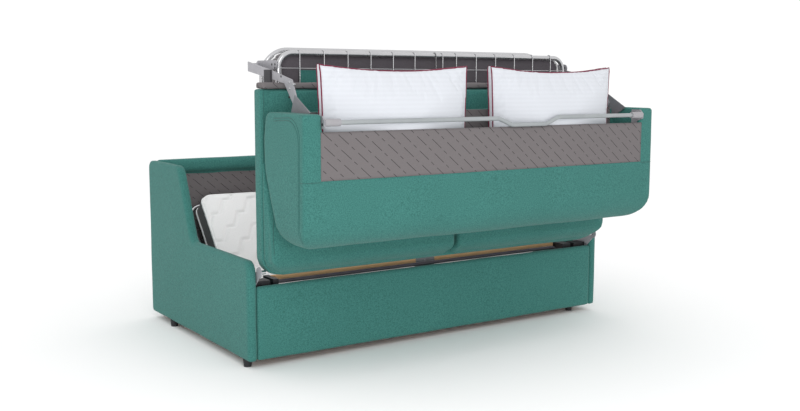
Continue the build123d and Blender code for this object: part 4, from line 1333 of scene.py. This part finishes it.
def make_foot_mattress():
    """Foot section of the mattress, standing behind the seat, quilted on its far side."""
    sizes = bpy.context.scene.sofa_sizes
    low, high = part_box("foot_mattress")
    piece = skin_over(
        ("foot_mattress",), "foot_mattress_cover", sizes.mattress_mesh, sizes.mattress_rounds
    )
    points, normals = coordinates(piece), directions(piece)
    points[:, 0], points[:, 2] = rounded(points[:, 0], points[:, 2], *upright_edges(points))
    u, v = points[:, 0] + QUILT_START, points[:, 2]
    move_to(piece, quilted(points, normals, normals[:, 1], u, v))
    ripple(piece, sizes.foot_ripple)
    centres, _ = face_arrays(piece)
    mattress_cloths(piece, centres[:, 1], low.y, high.y, sizes.border_edge / 2)
    ridden(piece, "seat_unit", "mattress_fabric", "foot_mattress")
    outline = round_outline(*upright_edges(points))
    heights = (low.y + EDGE_INSET, high.y - EDGE_INSET)
    lines = [[(x, y, z) for x, z in outline] for y in heights]
    cord = mattress_piping("foot_mattress_piping", piece, lines)
    ridden(cord, "seat_unit", "mattress_fabric")


# Wire nets and fittings

# Margins of the foot net, places of its middle wires and how far they hook over the tube
NET_MARGIN = 0.12
MIDDLE_WIRES = (0.038, 0.0)
HOOK_ANGLE = 170
NET_START = 0.05
ROW_DROP = 0.001
ROW_MARGIN = 0.02
FRAME_CORNER = 0.065


def make_foot_net():
    """Upright wires that hook over the foot frame's tube, and level wires across them."""
    sizes = bpy.context.scene.sofa_sizes
    low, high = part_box("foot_frame")
    tube = (high.y - low.y) / 2
    centre_y = (low.y + high.y) / 2
    reach = tube + sizes.wire_radius
    face_y = centre_y - reach
    top_z, bottom_z = high.z - tube, low.z + tube
    half = high.x - tube
    over = arc((centre_y, top_z), reach, 180, 180 - HOOK_ANGLE, ARC_STEPS)
    under = arc((centre_y, bottom_z), reach, 180, 180 + HOOK_ANGLE, ARC_STEPS)
    line = over[::-1] + [(face_y, top_z - NET_START), (face_y, bottom_z + NET_START)] + under
    count = int((2 * half - NET_MARGIN) / sizes.wire_pitch)
    columns = [(index - count / 2) * sizes.wire_pitch for index in range(count + 1)]
    paths = [([(x, y, z) for y, z in line], False) for x in (*columns, *MIDDLE_WIRES)]
    level_y = face_y + 2 * sizes.wire_radius
    level_z = top_z - ROW_DROP
    while level_z > bottom_z + ROW_MARGIN:
        end = half - max(0.0, FRAME_CORNER - (top_z - level_z))
        paths.append(([(-end, level_y, level_z), (end, level_y, level_z)], False))
        level_z -= sizes.row_pitch
    net = rods("foot_wires", paths, sizes.wire_radius, material("bright_tube"))
    ridden(net, "seat_unit", "bright_tube", "foot_net")


# Place of the flap, its gap to the mattress and its making
FLAP_X = (-0.683, -0.598)
FLAP_Z = (1.10, 1.205)
FLAP_GAP = 0.004
FLAP_THICKNESS = 0.0016
FLAP_CUTS = 4
FLAP_SHARE = 0.25


def make_flap():
    """A strip of upholstery cloth that holds the foot mattress, seen behind the wires."""
    sizes = bpy.context.scene.sofa_sizes
    (left, right), (bottom, top) = FLAP_X, FLAP_Z
    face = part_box("foot_mattress")[0].y - FLAP_GAP
    corners = [(left, face, bottom), (right, face, bottom), (right, face, top), (left, face, top)]
    flap = new_piece("holding_flap", corners, (), [(0, 1, 2, 3)])
    cuts = flap.modifiers.new("cuts", "SUBSURF")
    cuts.subdivision_type = "SIMPLE"
    cuts.levels = FLAP_CUTS
    cuts.render_levels = FLAP_CUTS
    shade_smooth(thickened(flap, FLAP_THICKNESS, 1.0))
    ripple(flap, sizes.cover_ripple * FLAP_SHARE)
    paint(flap, material("cover_cloth"))
    ridden(flap, "seat_unit", "teal_fabric")


# How far the first and last rows of a net stay from its ends
NET_INSET = 0.004
END_ROW_INSET = 0.05


def flat_net(name, node_name, body, plane_point, along):
    """Wires of a bed section's net, along and across it."""
    sizes = bpy.context.scene.sofa_sizes
    low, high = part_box(node_name)
    half = high.x
    out = Vector((0, -along.z, along.y))
    ends = [(Vector((0, corner.y, corner.z)) - plane_point).dot(along) for corner in (low, high)]
    start, end = min(ends), max(ends)

    def place(x, share, side):
        return plane_point + along * share + out * (side * sizes.wire_radius) + Vector((x, 0, 0))

    paths = []
    count = int(2 * half / sizes.wire_pitch)
    for index in range(count + 1):
        x = (index - count / 2) * sizes.wire_pitch
        paths.append(([place(x, start, 1), place(x, end, 1)], False))
    rows = max(2, round((end - start) / sizes.row_pitch))
    for index in range(rows + 1):
        share = start + NET_INSET + (end - start - 2 * NET_INSET) * index / rows
        row_half = half - (END_ROW_INSET if index in (0, rows) else 0.0)
        paths.append(([place(-row_half, share, -1), place(row_half, share, -1)], False))
    net = rods(name, paths, sizes.wire_radius, material("bright_tube"))
    ridden(net, body, "bright_tube", node_name)


def make_bed_nets():
    """Wire nets of the head and middle sections."""
    knee, upward, _ = knee_frame()
    flat_net("head_wires", "head_net", "head_section", knee, upward)
    flat_net("middle_wires", "middle_net", "middle_section", knee, Vector((0, 1, 0)))


# Places on the plates, as distance behind the front panel's face and height above the floor
LINK_RIVETS = ((-0.120, 1.157), (-0.152, 1.148), (-0.120, 1.132))
LINK_HOLES = ((-0.049, 1.178), (-0.114, 1.099))
HOOP_HOLES = ((0.078, 1.227), (0.078, 1.213), (0.105, 1.227))
STRIP_RIVETS = (0.775, 0.745)
PLATE_HOLE = 0.0052
BRACKET_HOLE = 0.006
HOLE_HEIGHT = 0.0004
BRACKET_HOLE_IN = 0.017
BRACKET_HOLE_DOWN = 0.031
SCREW_RADIUS = 0.006
SCREW_HEIGHT = 0.003
SLAT_SCREW_ASIDE = 0.024
SLAT_SCREW_UP = 0.02


def on_plates(node_name, places):
    """Marks on both faces of a plate and of its mirrored twin. A mark is (point, facing)."""
    low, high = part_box(node_name)
    return [
        ((-side * face_x, y, z), (-side * way, 0, 0))
        for _, side in SIDES for y, z in places for face_x, way in ((low.x, -1), (high.x, 1))
    ]


def from_front(places):
    """Places given from the front panel's face, as places in the frame."""
    front_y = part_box("front_panel")[0].y
    return [(front_y + y, z) for y, z in places]


def make_fittings():
    """Rivets, bolt heads and holes on the plates of the linkage and on the guard strip; the holes are
    near-black discs of painted shade.
    """
    low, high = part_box("guard_strip")
    middle_z = (low.z + high.z) / 2
    bright = on_plates("left_link_plate", from_front(LINK_RIVETS))
    bright += [
        ((side * x, face_y, middle_z), (0, way, 0))
        for _, side in SIDES for x in STRIP_RIVETS for face_y, way in ((low.y, -1), (high.y, 1))
    ]
    piece = rivets("linkage_rivets", bright, material("rivet_steel"))
    ridden(piece, "seat_unit", "grey_plate")
    # The holes are thin near-black discs: painted shade where the plates are pierced.
    shade = on_plates("left_link_plate", from_front(LINK_HOLES))
    shade += on_plates("left_hoop_plate", from_front(HOOP_HOLES))
    marks = rivets("linkage_holes", shade, material("hole_shade"), PLATE_HOLE, HOLE_HEIGHT)
    ridden(marks, "seat_unit", "grey_plate")
    # The bracket's holes are near-black discs of painted shade too.
    low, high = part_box("left_bar_bracket")
    heads = on_plates("left_bar_bracket", [(low.y + BRACKET_HOLE_IN, high.z - BRACKET_HOLE_DOWN)])
    holes = rivets("bracket_holes", heads, material("hole_shade"), BRACKET_HOLE, HOLE_HEIGHT)
    ridden(holes, "backrest", "grey_plate")
    low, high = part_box("slat_bracket")
    middle_x = (low.x + high.x) / 2
    screws = [((middle_x + SLAT_SCREW_ASIDE, low.y, low.z + SLAT_SCREW_UP), (0, -1, 0))]
    low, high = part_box("left_pivot_block")
    centre = (low + high) / 2
    screws += [((-side * centre.x, low.y, centre.z), (0, -1, 0)) for _, side in SIDES]
    bolts = rivets("base_screws", screws, material("rivet_steel"), SCREW_RADIUS, SCREW_HEIGHT)
    ridden(bolts, "base", "grey_plate")


# Stage

# The camera solved from the photo, with its turns in degrees and its lens in millimetres
CAMERA_PLACE = Vector((-2.640, -3.882, 1.169))
CAMERA_YAW = 34.206
CAMERA_PITCH = 7.299
CAMERA_ROLL = 0.197
CAMERA_LENS = 44.363
SENSOR_WIDTH = 36.0
CAMERA_REACH = 60.0
FLOOR_HALF = 14.0
FLOOR_TONES = ((0.97, 0.97, 0.97, 1), (0.99, 0.99, 0.99, 1))
SURROUNDINGS = 1.04
# Name, place, target, size and power
LIGHTS = (
    ("key", (-3.0, -4.6, 4.4), (0, 0, 0.7), 2.6, 45),
    ("front", (-2.2, -4.0, 0.75), (0, 0, 0.40), 1.2, 32),
)


def add_camera():
    """A camera at the photo's viewpoint."""
    yaw, pitch, roll = (math.radians(value) for value in (CAMERA_YAW, CAMERA_PITCH, CAMERA_ROLL))
    forward = Vector(
        (math.sin(yaw) * math.cos(pitch), math.cos(yaw) * math.cos(pitch), -math.sin(pitch))
    )
    right = Vector((math.cos(yaw), -math.sin(yaw), 0))
    up = right.cross(forward)
    turned_right = math.cos(roll) * right + math.sin(roll) * up
    turned_up = math.cos(roll) * up - math.sin(roll) * right
    data = bpy.data.cameras.new("camera")
    data.lens = CAMERA_LENS
    data.sensor_width = SENSOR_WIDTH
    data.clip_end = CAMERA_REACH
    camera = link(bpy.data.objects.new("camera", data))
    turn = Matrix((turned_right, turned_up, -forward)).transposed().to_4x4()
    camera.matrix_world = Matrix.Translation(CAMERA_PLACE) @ turn
    bpy.context.scene.camera = camera


def add_light(name, place, target, size, power):
    """A soft square light that faces the target."""
    data = bpy.data.lights.new(name, "AREA")
    data.size = size
    data.energy = power
    light = link(bpy.data.objects.new(name, data))
    light.location = place
    light.rotation_euler = (Vector(target) - Vector(place)).to_track_quat("-Z", "Y").to_euler()


def make_stage():
    """Pale floor, soft lights, white surroundings and the camera."""
    corners = [(x * FLOOR_HALF, y * FLOOR_HALF, 0) for x, y in ((-1, -1), (1, -1), (1, 1), (-1, 1))]
    floor = new_piece("floor", corners, (), [(0, 1, 2, 3)])
    tree, shader = new_material("pale_floor", Roughness=0.9, Specular_IOR_Level=0.1)
    shade = tree.add("ShaderNodeTexNoise", {"Scale": 0.4, "Detail": 1.0})
    tree.feed(shader, Base_Color=tree.mix(shade.outputs["Fac"], *FLOOR_TONES))
    paint(floor, material("pale_floor"))
    world = bpy.data.worlds.new("studio")
    world.use_nodes = True
    background = world.node_tree.nodes["Background"].inputs
    background["Color"].default_value = (1, 1, 1, 1)
    background["Strength"].default_value = SURROUNDINGS
    bpy.context.scene.world = world
    for light in LIGHTS:
        add_light(*light)
    bpy.context.scene.view_settings.view_transform = "Standard"
    add_camera()


# Operators and panel

class SOFA_OT_stage(bpy.types.Operator):
    """Pale floor, soft lights, white surroundings and the camera."""

    bl_idname = "sofa.stage"
    bl_label = "Add stage"

    def execute(self, context):
        make_stage()
        return {"FINISHED"}


class SOFA_OT_finishes(bpy.types.Operator):
    """Materials, and the finishes of the solids that stay."""

    bl_idname = "sofa.finishes"
    bl_label = "Add finishes"

    def execute(self, context):
        make_materials()
        finish_nodes()
        return {"FINISHED"}


class SOFA_OT_box_covers(bpy.types.Operator):
    """Upholstery over the arms, the front panel and the rear wall."""

    bl_idname = "sofa.box_covers"
    bl_label = "Cover box"

    def execute(self, context):
        make_box_covers()
        return {"FINISHED"}


class SOFA_OT_box_lining(bpy.types.Operator):
    """Lining cloth over the rear wall's inner face."""

    bl_idname = "sofa.box_lining"
    bl_label = "Line box"

    def execute(self, context):
        make_box_lining()
        return {"FINISHED"}


class SOFA_OT_seat(bpy.types.Operator):
    """Seat cushions, the board behind them and the lining over its end."""

    bl_idname = "sofa.seat"
    bl_label = "Make seat"

    def execute(self, context):
        make_seat()
        return {"FINISHED"}


class SOFA_OT_back(bpy.types.Operator):
    """Padded back with its seams, stitches and lining panel."""

    bl_idname = "sofa.back"
    bl_label = "Make back"

    def execute(self, context):
        make_back()
        return {"FINISHED"}


class SOFA_OT_pillows(bpy.types.Operator):
    """Two filled pillows in the back's pocket."""

    bl_idname = "sofa.pillows"
    bl_label = "Make pillows"

    def execute(self, context):
        make_pillows()
        return {"FINISHED"}


class SOFA_OT_bed_mattress(bpy.types.Operator):
    """Head and middle sections of the mattress in one piece."""

    bl_idname = "sofa.bed_mattress"
    bl_label = "Make bed mattress"

    def execute(self, context):
        make_bed_mattress()
        return {"FINISHED"}


class SOFA_OT_foot_mattress(bpy.types.Operator):
    """Foot section of the mattress behind the seat."""

    bl_idname = "sofa.foot_mattress"
    bl_label = "Make foot mattress"

    def execute(self, context):
        make_foot_mattress()
        return {"FINISHED"}


class SOFA_OT_foot_net(bpy.types.Operator):
    """Wire net of the foot frame."""

    bl_idname = "sofa.foot_net"
    bl_label = "Make foot net"

    def execute(self, context):
        make_foot_net()
        return {"FINISHED"}


class SOFA_OT_flap(bpy.types.Operator):
    """Strip of upholstery cloth that holds the foot mattress."""

    bl_idname = "sofa.flap"
    bl_label = "Make flap"

    def execute(self, context):
        make_flap()
        return {"FINISHED"}


class SOFA_OT_bed_nets(bpy.types.Operator):
    """Wire nets of the head and middle sections."""

    bl_idname = "sofa.bed_nets"
    bl_label = "Make bed nets"

    def execute(self, context):
        make_bed_nets()
        return {"FINISHED"}


class SOFA_OT_fittings(bpy.types.Operator):
    """Rivets, painted-shade holes and screw heads of the linkage."""

    bl_idname = "sofa.fittings"
    bl_label = "Add fittings"

    def execute(self, context):
        make_fittings()
        return {"FINISHED"}


# In the order in which main() runs them
OPERATORS = (
    SOFA_OT_stage, SOFA_OT_finishes, SOFA_OT_box_covers,
    SOFA_OT_box_lining, SOFA_OT_seat, SOFA_OT_back,
    SOFA_OT_pillows, SOFA_OT_bed_mattress, SOFA_OT_foot_mattress,
    SOFA_OT_foot_net, SOFA_OT_flap, SOFA_OT_bed_nets,
    SOFA_OT_fittings,
)


class SOFA_PT_dressing(bpy.types.Panel):
    """Lists the pieces of the sofa bed that can be made."""

    bl_label = "Sofa bed"
    bl_idname = "SOFA_PT_dressing"
    bl_space_type = "VIEW_3D"
    bl_region_type = "UI"
    bl_category = "Sofa bed"

    def draw(self, context):
        for item in OPERATORS:
            self.layout.operator(item.bl_idname)


CLASSES = (SofaColours, SofaSizes) + OPERATORS + (SOFA_PT_dressing,)


def register():
    """Add the classes and the scene's settings."""
    for item in CLASSES:
        bpy.utils.register_class(item)
    bpy.types.Scene.sofa_colours = PointerProperty(type=SofaColours)
    bpy.types.Scene.sofa_sizes = PointerProperty(type=SofaSizes)


def unregister():
    """Take the classes and settings away."""
    del bpy.types.Scene.sofa_sizes
    del bpy.types.Scene.sofa_colours
    for item in reversed(CLASSES):
        bpy.utils.unregister_class(item)


def main():
    """Make the whole dressing."""
    register()
    for item in OPERATORS:
        getattr(bpy.ops.sofa, item.bl_idname.split(".")[1])()


if __name__ == "__main__":
    main()
